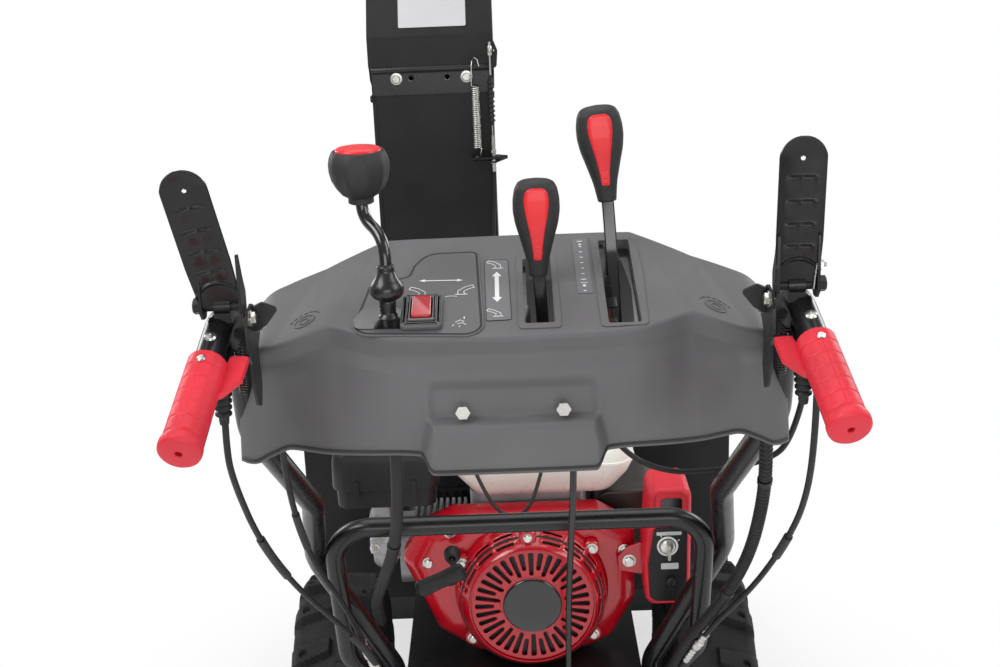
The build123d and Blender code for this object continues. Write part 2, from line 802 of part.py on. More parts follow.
with BuildPart() as deflector:
    outer_width = chute_width + 2 * (chute_sheet + moving_gap)
    back = hinge_pin_y - chute_sheet / 2
    front = chute_y + chute_depth / 2
    low = chute_hinge_height - 18
    high = chute_hinge_height + deflector_height
    with BuildSketch(profile_plane(chute_x)):
        with BuildLine():
            Polyline(
                (back, hinge_pin_z + hinge_knuckle_radius + panel_gap),
                (back + 2 * chute_sheet, hinge_pin_z + hinge_knuckle_radius + panel_gap),
                (back + 18, hinge_pin_z - 18),
                (back + 60, low),
                (front + 4, chute_hinge_height + 10),
                (front + 26, high - 60),
                (back + 104, high),
                (back + 52, high - 70),
                (back, high - 150),
                close=True,
            )
        make_face()
    extrude(amount=outer_width / 2, both=True)
    with BuildSketch(profile_plane(chute_x)):
        with BuildLine():
            Polyline(
                (back + chute_sheet, low - 10),
                (back + 400, low - 10),
                (back + 400, high + 60),
                (back + 140, high + 60),
                (back + 52 + chute_sheet, high - 71),
                (back + chute_sheet, high - 150),
                close=True,
            )
        make_face()
    extrude(amount=outer_width / 2 - chute_sheet, both=True, mode=Mode.SUBTRACT)
    for start, end in deflector_knuckles:
        with BuildSketch(profile_plane(chute_x + start)):
            with Locations((hinge_pin_y, hinge_pin_z)):
                Circle(hinge_knuckle_radius)
            with Locations((hinge_pin_y, hinge_pin_z + hinge_knuckle_radius + 1)):
                Rectangle(chute_sheet, 2 * hinge_knuckle_radius)
        extrude(amount=end - start)
    with BuildSketch(profile_plane(chute_x)):
        with Locations((hinge_pin_y, hinge_pin_z)):
            Circle(hinge_pin_radius + running_gap)
    extrude(amount=chute_width, both=True, mode=Mode.SUBTRACT)
keep(deflector, "deflector")

with BuildPart() as chute_hinge_bolts:
    for reach in (-chute_rivet_span / 2, chute_rivet_span / 2):
        head = side_plane(chute_x + reach, chute_back - hinge_strip, chute_rivet_z)
        with BuildSketch(head):
            RegularPolygon(6.5, 6)
        extrude(amount=5)
        with BuildSketch(head):
            Circle(chute_rivet_radius)
        extrude(amount=-hinge_strip - chute_sheet)
keep(chute_hinge_bolts, "chute_hinge_bolts")

with BuildPart() as deflector_spring:
    with BuildLine() as coil:
        Helix(
            pitch=spring_pitch,
            height=spring_length,
            radius=spring_radius,
            center=(chute_x + 66, chute_back - 13.5, bracket_z + 8),
        )
    with BuildSketch(Plane(origin=coil.line @ 0, z_dir=coil.line % 0)):
        Circle(spring_wire)
    sweep(is_frenet=True)
keep(deflector_spring, "deflector_spring")

keep(slack_tube(deflector_cable_route, cable_radius), "deflector_cable")


# ------------------------------------------------------------------ engine
with BuildPart() as engine_block:
    with BuildSketch(Plane.XY.offset(engine_base)):
        with Locations((crank_x, (engine_rear + engine_front) / 2)):
            RectangleRounded(190, engine_front - engine_rear, 14)
    extrude(amount=18)
    with BuildSketch(Plane.XY.offset(engine_base + 18)):
        with Locations((crank_x, (engine_rear + engine_front) / 2)):
            RectangleRounded(166, engine_front - engine_rear - 12, 20)
    extrude(amount=engine_top - engine_base - 18)
    for fin in range(9):
        with BuildSketch(profile_plane(crank_x - 92 - fin * 9)):
            with Locations(((engine_rear + engine_front) / 2, crank_z + 10)):
                RectangleRounded(112, 112, 14)
        extrude(amount=-4)
    with BuildSketch(profile_plane(crank_x - 80)):
        with Locations(((engine_rear + engine_front) / 2, crank_z + 10)):
            RectangleRounded(88, 88, 20)
    extrude(amount=carburettor_x + 20 - crank_x + 80)
    with BuildSketch(side_plane(crank_x, engine_front + 10, crank_z)):
        Circle(crank_radius + running_gap)
    extrude(amount=400, mode=Mode.SUBTRACT)
keep(engine_block, "engine_block")

with BuildPart() as crankshaft:
    with BuildSketch(side_plane(crank_x, belt_y + belt_width + 14, crank_z)):
        Circle(crank_radius)
    extrude(amount=belt_y + belt_width + 14 - engine_rear + 20)
    with BuildSketch(side_plane(crank_x, engine_rear - 14, crank_z)):
        Circle(72)
        with PolarLocations(58, 6):
            Circle(6, mode=Mode.SUBTRACT)
    extrude(amount=22)
    add(engine_pulley.part)
keep(crankshaft, "crankshaft")

with BuildPart() as engine_shroud:
    with BuildSketch(side_plane(0, engine_rear - 1, 0)) as shroud_outline:
        with BuildLine():
            Polyline(
                (-63, 322),
                (-119, 360),
                (-166, 471),
                (-138, 516),
                (-92, 536),
                (110, 536),
                (162, 505),
                (162, 400),
                (128, 340),
                (92, 322),
                close=True,
            )
        make_face()
        fillet(shroud_outline.vertices(), 12)
    extrude(amount=52)
    with BuildSketch(side_plane(0, engine_rear, 0)):
        offset(shroud_outline.sketch_local, amount=-3)
    extrude(amount=50, mode=Mode.SUBTRACT)
    with BuildSketch(side_plane(crank_x, engine_rear - 30, crank_z)):
        Circle(fan_cover_radius - 14)
    extrude(amount=60, mode=Mode.SUBTRACT)
keep(engine_shroud, "engine_shroud")

with BuildPart() as fan_cover:
    base = engine_rear - 54
    with BuildSketch(Plane(origin=(crank_x, base, crank_z), x_dir=X_DIR, z_dir=(0, -1, 0))):
        Circle(fan_cover_radius)
    extrude(amount=base - fan_cover_rear - 12)
    with BuildSketch(side_plane(crank_x, fan_cover_rear + 12, crank_z)):
        Circle(fan_cover_radius - 6)
    with BuildSketch(side_plane(crank_x, fan_cover_rear, crank_z)):
        Circle(starter_face_radius + 4)
    loft()
    with BuildSketch(side_plane(crank_x, base + 1, crank_z)):
        Circle(fan_cover_radius - 9)
    extrude(amount=base + 1 - fan_cover_rear - 16, mode=Mode.SUBTRACT)
    with BuildSketch(side_plane(crank_x, fan_cover_rear + 20, crank_z)):
        Circle(starter_face_radius)
    extrude(amount=16, mode=Mode.SUBTRACT)
    with BuildSketch(side_plane(crank_x, fan_cover_rear - 1, crank_z)):
        slot_length = starter_face_radius - emblem_radius - 12
        for step in range(starter_slots):
            with Locations(Location((0, 0), 360 * step / starter_slots)):
                with Locations(((starter_face_radius + emblem_radius) / 2, 0)):
                    Rectangle(slot_length, 5)
    extrude(amount=-12, mode=Mode.SUBTRACT)
keep(fan_cover, "fan_cover")

with BuildPart() as fuel_tank:
    tank_bottom = engine_top + panel_gap
    for inset, mode in ((0, Mode.ADD), (3, Mode.SUBTRACT)):
        with BuildSketch(Plane.XY.offset(tank_bottom + inset)):
            with Locations((tank_centre_x, 5)):
                RectangleRounded(tank_width - 60 - 2 * inset, 150 - 2 * inset, 22)
        with BuildSketch(Plane.XY.offset(tank_bottom + 40)):
            with Locations((tank_centre_x, 5)):
                RectangleRounded(tank_width - 2 * inset, 190 - 2 * inset, 30)
        loft(mode=mode)
        with BuildSketch(Plane.XY.offset(tank_bottom + 40)):
            with Locations((tank_centre_x, 5)):
                RectangleRounded(tank_width - 2 * inset, 190 - 2 * inset, 30)
        extrude(amount=tank_height - 40 - inset, mode=mode)
    with BuildSketch(Plane.XY.offset(tank_bottom + tank_height)):
        with Locations((tank_centre_x + 40, 20)):
            Circle(26)
    extrude(amount=6)
    with BuildSketch(Plane.XY.offset(tank_bottom + tank_height + 10)):
        with Locations((tank_centre_x + 40, 20)):
            Circle(20)
    extrude(amount=-40, mode=Mode.SUBTRACT)
keep(fuel_tank, "fuel_tank")

with BuildPart() as fuel_cap:
    cap_base = tank_bottom + tank_height + 6 + panel_gap
    with BuildSketch(Plane.XY.offset(cap_base)):
        with Locations((tank_centre_x + 40, 20)):
            Circle(29)
            with PolarLocations(29, 12):
                Circle(3)
    extrude(amount=16)
    with BuildSketch(Plane.XY.offset(cap_base)):
        with Locations((tank_centre_x + 40, 20)):
            Circle(19)
    extrude(amount=-16)
    fillet(fuel_cap.faces().sort_by(Axis.Z)[-1].edges(), 1.5)
keep(fuel_cap, "fuel_cap")

with BuildPart() as air_box:
    with BuildSketch(Plane.XY.offset(air_box_base)):
        with Locations((air_box_x, air_box_y)):
            RectangleRounded(air_box_side - 10, air_box_side - 10, 16)
    extrude(amount=air_box_lid_base - air_box_base)
    with BuildSketch(Plane.XY.offset(air_box_lid_base)):
        with Locations((air_box_x, air_box_y)):
            RectangleRounded(air_box_side, air_box_side, 18)
    extrude(amount=air_box_top - air_box_lid_base)
    fillet(air_box.faces().sort_by(Axis.Z)[-1].edges(), 12)
    with BuildSketch(Plane.XY.offset(air_box_lid_base + thin_wall)):
        with Locations((air_box_x, air_box_y)):
            RectangleRounded(air_box_side - 2 * thin_wall, air_box_side - 2 * thin_wall, 12)
    extrude(amount=air_box_top - air_box_lid_base - 2 * thin_wall - 10, mode=Mode.SUBTRACT)
keep(air_box, "air_box")

with BuildPart() as carburettor:
    bowl_height = 25
    with BuildSketch(Plane.XY.offset(carburettor_base + bowl_height)):
        with Locations((carburettor_x, carburettor_y)):
            RectangleRounded(carburettor_width, carburettor_width + 6, 8)
    extrude(amount=air_box_base - 2 - carburettor_base - bowl_height)
    with BuildSketch(Plane.XY.offset(carburettor_base)):
        with Locations((carburettor_x, carburettor_y)):
            Circle(carburettor_width / 2 - 2)
    extrude(amount=bowl_height)
keep(carburettor, "carburettor")

with BuildPart() as muffler:
    muffler_back = side_plane(muffler_x, muffler_front_y, muffler_z)
    with BuildSketch(muffler_back):
        RectangleRounded(muffler_width, muffler_height, 26)
    extrude(amount=muffler_length)
    fillet(muffler.edges().filter_by(GeomType.LINE, reverse=True), 4)
    with BuildSketch(side_plane(muffler_x, muffler_front_y - thin_wall, muffler_z)):
        RectangleRounded(muffler_width - 2 * thin_wall, muffler_height - 2 * thin_wall, 23)
    extrude(amount=muffler_length - 2 * thin_wall, mode=Mode.SUBTRACT)
    for start, radius, mode in ((30, 11, Mode.ADD), (28, 8, Mode.SUBTRACT)):
        with BuildSketch(profile_plane(muffler_x + start)):
            with Locations((muffler_front_y - 62, muffler_z + 22)):
                Circle(radius)
        extrude(amount=muffler_width / 2 + 20 - start, mode=mode)
keep(muffler, "muffler")

with BuildPart() as control_box:
    with BuildSketch(side_plane(control_x, control_back, 505)) as box_outline:
        Rectangle(control_box_width, control_box_height)
        fillet(box_outline.vertices(), 14)
    extrude(amount=control_depth)
    chamfer(control_box.faces().sort_by(Axis.Y)[0].edges(), 4)
    with BuildSketch(side_plane(control_x, control_back - thin_wall, 505)):
        Rectangle(control_box_width - 2 * thin_wall, control_box_height - 2 * thin_wall)
    extrude(amount=control_depth - thin_wall - 28, mode=Mode.SUBTRACT)
    with BuildSketch(side_plane(control_x, control_back - control_depth, 502)):
        Circle(key_radius + running_gap)
        with Locations((4, -52)):
            Circle(button_radius + running_gap)
    extrude(amount=-26, mode=Mode.SUBTRACT)
keep(control_box, "control_box")

with BuildPart() as ignition_key:
    with BuildSketch(side_plane(control_x, control_back - control_depth + 22, 502)):
        Circle(key_radius)
    extrude(amount=24)
    with BuildSketch(side_plane(control_x, control_back - control_depth - 2, 502)):
        RectangleRounded(5, 20, 2)
    extrude(amount=22)
keep(ignition_key, "ignition_key")

with BuildPart() as reset_button:
    with BuildSketch(side_plane(control_x + 4, control_back - control_depth + 22, 450)):
        Circle(button_radius)
    extrude(amount=27)
keep(reset_button, "reset_button")

with BuildPart() as recoil_handle:
    with BuildLine() as grip_line:
        Line((-137, handle_y, 489), (-72, handle_y, 518))
    with BuildSketch(Plane(origin=grip_line.line @ 0, z_dir=grip_line.line % 0)):
        SlotOverall(27, 17)
    sweep()
    with BuildSketch(side_plane(-92, handle_y + 30, 500)):
        Circle(9)
    extrude(amount=26)
keep(recoil_handle, "recoil_handle")

with BuildPart() as recoil_rope:
    with BuildSketch(side_plane(-92, fan_cover_rear + 40, 500)):
        Circle(2.2)
    extrude(amount=fan_cover_rear + 40 - handle_y - 30)
keep(recoil_rope, "recoil_rope")


# ------------------------------------------------------------------ engine guard
hoop_route = [mirrored(p, -1) for p in hoop_points] + [mirrored(p, 1) for p in reversed(hoop_points)]
keep(tube(hoop_route, hoop_radius, [60, 60, bar_bend, bar_bend, 60, 60], hoop_radius - 2), "engine_guard")


# ------------------------------------------------------------------ grips, paddles and triggers
bar_direction = Vector(*bar_corner) - Vector(*grip_end)
bar_length = bar_direction.length
bar_rise = degrees(atan2(bar_direction.Z, bar_direction.Y))


def on_bar(side, along, lift=0, across=0):
    """A point beside the handlebar's end run: along it, above its axis and outward from it."""
    spot = Vector(*grip_end) + bar_direction * (along / bar_length)
    up = Vector(0, -sin(radians(bar_rise)), cos(radians(bar_rise)))
    spot = spot + up * lift
    return Vector(side * (spot.X + across), spot.Y, spot.Z)


def bar_plane(side, along, lift=0, across=0):
    """A plane square to the handlebar's end run, facing up the bar, with local y up."""
    run = Vector(side * bar_direction.X, bar_direction.Y, bar_direction.Z)
    return Plane(origin=on_bar(side, along, lift, across), x_dir=X_DIR, z_dir=run)


def grip(side):
    """A moulded grip: five finger bands, a swollen end with a hole and a thumb guard."""
    with BuildPart() as piece:
        band = grip_length / 6
        with BuildSketch(bar_plane(side, 0)):
            Circle(grip_radius)
        extrude(amount=band)
        for step in range(1, 6):
            with BuildSketch(bar_plane(side, step * band)):
                Circle(grip_radius - 1.2)
            with BuildSketch(bar_plane(side, (step + 1) * band)):
                Circle(grip_radius - 2.6)
            loft()
        with BuildSketch(bar_plane(side, grip_length - 34, 0, -grip_radius + 4)):
            Rectangle(16, 10)
        with BuildSketch(bar_plane(side, grip_length, 0, -grip_radius - 1)):
            Rectangle(24, 16)
        loft()
        with BuildSketch(bar_plane(side, -1)):
            Circle(3.5)
        extrude(amount=20, mode=Mode.SUBTRACT)
        with BuildSketch(bar_plane(side, grip_wall)):
            Circle(bar_radius)
        extrude(amount=grip_length, mode=Mode.SUBTRACT)
    return piece


def paddle(side, lean, tip_back):
    """A pressed paddle on a pin: a blade with a round tip and two ears beside the pivot lug."""
    pivot = on_bar(side, paddle_along, pivot_lift, pivot_across)
    up = Vector(side * sin(radians(lean)), -sin(radians(tip_back)), cos(radians(tip_back)))
    across = Vector(cos(radians(lean)), 0, -side * sin(radians(lean)))
    facing = across.cross(up)
    blade_plane = Plane(origin=pivot + facing * 4, x_dir=across, z_dir=facing)
    with BuildPart() as piece:
        with BuildSketch(blade_plane) as blade_outline:
            with BuildLine():
                Polyline(
                    (-paddle_width / 2 + 2, 14),
                    (-paddle_width / 2, 50),
                    (-paddle_width / 2, paddle_length),
                    (paddle_width / 2, paddle_length),
                    (paddle_width / 2, 50),
                    (paddle_width / 2 - 2, 14),
                    close=True,
                )
            make_face()
            tip_corners = blade_outline.vertices().sort_by_distance(pivot)[-2:]
            fillet(tip_corners, paddle_width / 2 - 1)
            with Locations((0, paddle_length - 14)):
                Circle(2.5, mode=Mode.SUBTRACT)
        extrude(amount=paddle_sheet)
        ear_gap = lug_half_width + moving_gap
        for reach in (-1, 1):
            start = pivot + Vector(reach * ear_gap, 0, 0)
            with BuildSketch(Plane(origin=start, x_dir=(0, 1, 0), z_dir=X_DIR)):
                Circle(9)
                with Locations((-5, 14)):
                    Rectangle(14, 26)
            extrude(amount=reach * paddle_sheet)
        with BuildSketch(Plane(origin=pivot - Vector(ear_gap + 1, 0, 0), x_dir=(0, 1, 0), z_dir=X_DIR)):
            Circle(pin_radius)
        extrude(amount=2 * ear_gap + 2)
    return piece


def trigger(side):
    """A finger trigger under the grip, turning on a pin below the bar."""
    pivot = on_bar(side, paddle_along - 16, -trigger_drop)
    blade_run = Plane(origin=pivot, x_dir=(0, 1, 0), z_dir=X_DIR)
    with BuildPart() as piece:
        with BuildSketch(Plane(origin=pivot - Vector(7, 0, 0), x_dir=(0, 1, 0), z_dir=X_DIR)):
            Circle(8)
            Circle(pin_radius + running_gap, mode=Mode.SUBTRACT)
        extrude(amount=14)
        with BuildSketch(bar_plane(side, paddle_along - 22, -trigger_drop)):
            RectangleRounded(13, 9, 3)
        with BuildSketch(bar_plane(side, 30, -grip_radius - 14)):
            RectangleRounded(15, 7, 3)
        loft()
    return piece


def handle_plates(side):
    """The lug for the paddle's pin above the bar, and the trigger's hanger with its pin below."""
    top = on_bar(side, paddle_along, pivot_lift, pivot_across)
    low = on_bar(side, paddle_along - 16, -trigger_drop)
    with BuildPart() as piece:
        with BuildSketch(Plane(origin=top - Vector(lug_half_width, 0, 0), x_dir=(0, 1, 0), z_dir=X_DIR)):
            Circle(8)
            with Locations((4, -8)):
                Rectangle(16, 18)
            Circle(pin_radius + running_gap, mode=Mode.SUBTRACT)
        extrude(amount=2 * lug_half_width)
        for reach in (-1, 1):
            with BuildSketch(Plane(origin=low + Vector(reach * 8, 0, 0), x_dir=(0, 1, 0), z_dir=X_DIR)):
                Circle(8)
                with Locations((6, 9)):
                    Rectangle(14, 20)
            extrude(amount=reach * 3)
        with BuildSketch(Plane(origin=low - Vector(9, 0, 0), x_dir=(0, 1, 0), z_dir=X_DIR)):
            Circle(pin_radius)
        extrude(amount=18)
    return piece


for side, word in ((-1, "left"), (1, "right")):
    keep(grip(side), f"grip_{word}")
    keep(paddle(side, paddle_lean[word], paddle_back[word]), f"paddle_{word}")
    keep(trigger(side), f"trigger_{word}")


def handlebar(side):
    """A bent tube from the grip to the drive case, with its lug, hanger and foot."""
    route = [on_bar(side, grip_wall)] + [mirrored(point, side) for point in handlebar_points[1:]]
    pipe = tube(route, bar_radius, handlebar_bends, bar_radius - 2)
    plates = handle_plates(side)
    with BuildPart() as piece:
        add(pipe.part)
        add(plates.part)
    return piece


for side, word in ((-1, "left"), (1, "right")):
    keep(handlebar(side), f"handlebar_{word}")


# ------------------------------------------------------------------ console
# Each section: place across, then (y, z) of back foot, back top, deck front, band and skirt foot
console_sections = [
    (0, (-370, 862), (-370, 1006), (-575, 949), (-581, 917), (-600, 821)),
    (150, (-374, 862), (-374, 1003), (-572, 946), (-579, 917), (-592, 821)),
    (207, (-385, 862), (-385, 972), (-562, 938), (-570, 924), (-574, 821)),
    (262, (-402, 862), (-402, 952), (-541, 931), (-546, 920), (-553, 818)),
    (288, (-432, 862), (-432, 926), (-506, 916), (-512, 906), (-522, 814)),
]


def console_profile(section, inset):
    """The closed outline of one section, drawn in by the wall and left open at the foot."""
    back_foot, back_top, deck_front, band, skirt = section[1:]
    foot = 30 if inset else 0
    return [
        (back_foot[0] - inset, back_foot[1] - foot),
        (back_top[0] - inset, back_top[1] - inset),
        (deck_front[0] + inset, deck_front[1] - inset),
        (band[0] + inset, band[1]),
        (skirt[0] + inset, skirt[1]),
        (skirt[0] + inset, skirt[1] - foot - 1),
    ]


def console_stations(inset):
    """The sections from one end of the console to the other, the right half repeated on the left."""
    last = console_sections[-1]
    stations = []
    for section in console_sections:
        place = section[0] - (inset if section is last else 0)
        stations.append((place, console_profile(section, inset)))
    left_half = [(-place, profile) for place, profile in reversed(stations[1:])]
    return left_half + stations


bar_clearance = [
    tube([mirrored(p, side) for p in handlebar_points[:5]], bar_radius + 2, handlebar_bends[:3])
    for side in (-1, 1)
]
deck_slots = {
    "deflector": (30, -495.5, 30, 118),
    "speed": (113, -482, 32, 164),
}
rocker_place = (-89, -533)
rocker_size = (20, 36)
joystick_place = (-123, -533)
lever_pivot_y = -490
lever_pivot_z = 868
lever_pin_radius = 6
rib_places = (0, 72, 150)

with BuildPart() as console:
    for inset, mode in ((0, Mode.ADD), (console_wall, Mode.SUBTRACT)):
        for place, profile in console_stations(inset):
            with BuildSketch(profile_plane(place)):
                with BuildLine():
                    Polyline(*profile, close=True)
                make_face()
        loft(ruled=True, mode=mode)
    with BuildSketch(Plane.XY.offset(821)):
        with Locations((0, -606)):
            Rectangle(170, 24)
        with Locations((0, -603)):
            Rectangle(170 - 2 * console_wall, 24, mode=Mode.SUBTRACT)
    extrude(amount=44)
    with BuildSketch(Plane.XY.offset(862)):
        with Locations((0, -604)):
            Rectangle(170, 20)
    extrude(amount=console_wall)
    for place in rib_places:
        with BuildSketch(profile_plane(place)):
            with BuildLine():
                Polyline((-522, 854), (-458, 854), (-458, deck_z(-458) - 2), (-522, deck_z(-522) - 2), close=True)
            make_face()
        extrude(amount=4)
    with BuildSketch(Plane(origin=(rib_places[0], lever_pivot_y, lever_pivot_z), z_dir=X_DIR)):
        Circle(lever_pin_radius)
    extrude(amount=rib_places[-1])
    for x, y, width, length in deck_slots.values():
        with BuildSketch(deck_plane(x, y, 20)):
            RectangleRounded(width, length / cos(deck_tilt), 4)
        extrude(amount=-44, mode=Mode.SUBTRACT)
    with BuildSketch(deck_plane(*rocker_place, -4)):
        Rectangle(rocker_size[0] + 14, rocker_size[1] + 16)
    extrude(amount=9)
    with BuildSketch(deck_plane(*rocker_place, 20)):
        Rectangle(rocker_size[0] + 2 * panel_gap, rocker_size[1] + 4 * panel_gap)
    extrude(amount=-50, mode=Mode.SUBTRACT)
    with BuildSketch(deck_plane(*joystick_place, 20)):
        Circle(joystick_ball_radius + panel_gap)
    extrude(amount=-50, mode=Mode.SUBTRACT)
    with BuildSketch(side_plane(0, -560, bump_bolt_z)):
        with Locations((-bump_bolt_reach, 0), (bump_bolt_reach, 0)):
            Circle(4)
    extrude(amount=60, mode=Mode.SUBTRACT)
    for pipe in bar_clearance:
        add(pipe.part, mode=Mode.SUBTRACT)
keep(console, "console")

with BuildPart() as frame_bolts:
    for side in (-1, 1):
        face = side * (housing_width / 2 + shoe_thickness)
        for y in shoe_bolt_places:
            bolt_plane = Plane(origin=(face, y, shoe_height - 22), x_dir=(0, 1, 0), z_dir=(side, 0, 0))
            with BuildSketch(bolt_plane):
                RegularPolygon(8, 6)
            extrude(amount=5.5)
            with BuildSketch(bolt_plane):
                Circle(4)
            extrude(amount=-shoe_thickness)
        console_plane = side_plane(side * bump_bolt_reach, -589.5, bump_bolt_z)
        with BuildSketch(console_plane):
            RegularPolygon(7.5, 6)
        extrude(amount=8)
        with BuildSketch(console_plane):
            Circle(4)
        extrude(amount=-14)
keep(frame_bolts, "frame_bolts")


# ------------------------------------------------------------------ levers, joystick and switch
def knobbed_lever(place, lean_top, knob_base, knob_top):
    """A flat lever on a hub round the console's lever pin, with a tapered knob."""
    with BuildPart() as piece:
        hub_plane = Plane(origin=(place - 6, lever_pivot_y, lever_pivot_z), x_dir=(0, 1, 0), z_dir=X_DIR)
        with BuildSketch(hub_plane):
            Circle(lever_pin_radius + 7)
        extrude(amount=12)
        with BuildLine():
            Polyline((place, lever_pivot_y, lever_pivot_z), lean_top, knob_base)
        foot = Vector(place, lever_pivot_y, lever_pivot_z)
        with BuildSketch(Plane(origin=foot, x_dir=X_DIR, z_dir=Vector(*lean_top) - foot)):
            RectangleRounded(8, 14, 2)
        sweep(transition=Transition.RIGHT)
        rise = Vector(*knob_top) - Vector(*knob_base)
        for share, width, depth in ((0, 26, 20), (0.62, lever_knob_width, 30), (0.97, lever_knob_width * 0.62, 22)):
            with BuildSketch(Plane(origin=Vector(*knob_base) + rise * share, x_dir=X_DIR, z_dir=rise)):
                RectangleRounded(width, depth, depth * 0.46)
        loft()
        with BuildSketch(hub_plane):
            Circle(lever_pin_radius + running_gap)
        extrude(amount=12, mode=Mode.SUBTRACT)
    return piece


keep(knobbed_lever(35, (33, -480, 975), (31, -480, 993), (31, -480, 1086)), "deflector_lever")
keep(knobbed_lever(113, (112, -421, 990), (109, -418, 1046), (100, -416, 1148)), "speed_lever")

joystick_pivot = deck_plane(*joystick_place, -4).origin
rocker_pivot = deck_plane(*rocker_place).origin
print("joystick pivot", joystick_pivot, "rocker pivot", rocker_pivot)
print("deflector hinge", hinge_pin_y, hinge_pin_z)
with BuildPart() as joystick_rod:
    with BuildSketch(Plane(origin=joystick_pivot, x_dir=X_DIR, z_dir=(0, -1, 0))):
        Circle(joystick_ball_radius)
        with Locations((-joystick_ball_radius, 0)):
            Rectangle(2 * joystick_ball_radius, 3 * joystick_ball_radius, mode=Mode.SUBTRACT)
    revolve(axis=Axis(joystick_pivot, (0, 0, 1)))
    with BuildSketch(Plane(origin=joystick_pivot + Vector(0, 0, joystick_ball_radius - 4))):
        Circle(joystick_ball_radius - 2)
    with BuildSketch(Plane(origin=joystick_pivot + Vector(0, 0, joystick_ball_radius + 30))):
        Circle(8)
    loft()
    with BuildLine() as rod_route:
        FilletPolyline(joystick_pivot + Vector(0, 0, 30), joystick_pivot + Vector(0, 4, 66), *joystick_bend, radius=14)
    with BuildSketch(Plane(origin=rod_route.line @ 0, z_dir=rod_route.line % 0)):
        Circle(6)
    sweep()
keep(joystick_rod, "joystick_rod")

with BuildPart() as joystick_knob:
    top = Vector(*joystick_bend[-1])
    with BuildSketch(Plane(origin=top, x_dir=X_DIR, z_dir=(0, -1, 0))):
        with BuildLine():
            Polyline((0, -6), (12, -6), (20, 4))
            ThreePointArc((20, 4), (joystick_knob_radius, 28), (24, 50))
            Line((24, 50), (17, 54))
            Line((17, 54), (0, 56))
            Line((0, 56), (0, -6))
        make_face()
    revolve(axis=Axis(top, (0, 0, 1)))
    with BuildSketch(Plane(origin=top - Vector(0, 0, 10))):
        Circle(6)
    extrude(amount=26, mode=Mode.SUBTRACT)
keep(joystick_knob, "joystick_knob")

with BuildPart() as rocker_switch:
    with BuildSketch(deck_plane(*rocker_place, -12)):
        Rectangle(*rocker_size)
    extrude(amount=20)
    trunnion = rocker_size[0] / 2 + 0.8 * panel_gap
    with BuildSketch(Plane(origin=rocker_pivot - Vector(trunnion, 0, 0), z_dir=X_DIR)):
        Circle(2)
    extrude(amount=2 * trunnion)
keep(rocker_switch, "rocker_switch")


# ------------------------------------------------------------------ control cables and harness
with BuildPart() as control_cables:
    for route, radius in cable_routes.values():
        add(slack_tube(route, radius).part)
keep(control_cables, "control_cables")
for name, (route, radius) in cable_routes.items():
    print(name, "bend radii", [round(value) for value in bend_radii(route)])
print(len(kept), "nodes")
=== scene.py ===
import json
from math import atan2, cos, degrees, pi, radians, sin, sqrt, tan

import bpy
import bmesh
import numpy as np
from mathutils import Matrix, Vector


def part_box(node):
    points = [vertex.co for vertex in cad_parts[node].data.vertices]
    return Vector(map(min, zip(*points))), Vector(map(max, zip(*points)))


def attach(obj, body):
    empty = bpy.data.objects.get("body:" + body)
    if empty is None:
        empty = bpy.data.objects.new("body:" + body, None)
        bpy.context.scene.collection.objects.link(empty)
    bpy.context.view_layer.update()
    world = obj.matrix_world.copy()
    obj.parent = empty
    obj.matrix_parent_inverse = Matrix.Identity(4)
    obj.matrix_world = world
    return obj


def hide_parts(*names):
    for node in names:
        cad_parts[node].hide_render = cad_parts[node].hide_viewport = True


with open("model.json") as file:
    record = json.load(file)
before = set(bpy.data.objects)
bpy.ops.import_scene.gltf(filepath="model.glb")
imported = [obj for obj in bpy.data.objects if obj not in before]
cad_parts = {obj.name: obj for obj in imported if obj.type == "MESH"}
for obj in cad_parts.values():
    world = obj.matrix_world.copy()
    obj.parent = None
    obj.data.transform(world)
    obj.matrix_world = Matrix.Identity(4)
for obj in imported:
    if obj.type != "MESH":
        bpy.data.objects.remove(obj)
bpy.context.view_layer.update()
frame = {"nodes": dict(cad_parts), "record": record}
MM = 0.001
ACROSS, AHEAD, REAR, RISE = (1, 0, 0), (0, 1, 0), (0, -1, 0), (0, 0, 1)
PURE_WHITE = (1, 1, 1, 1)
SLOT_OF = {}


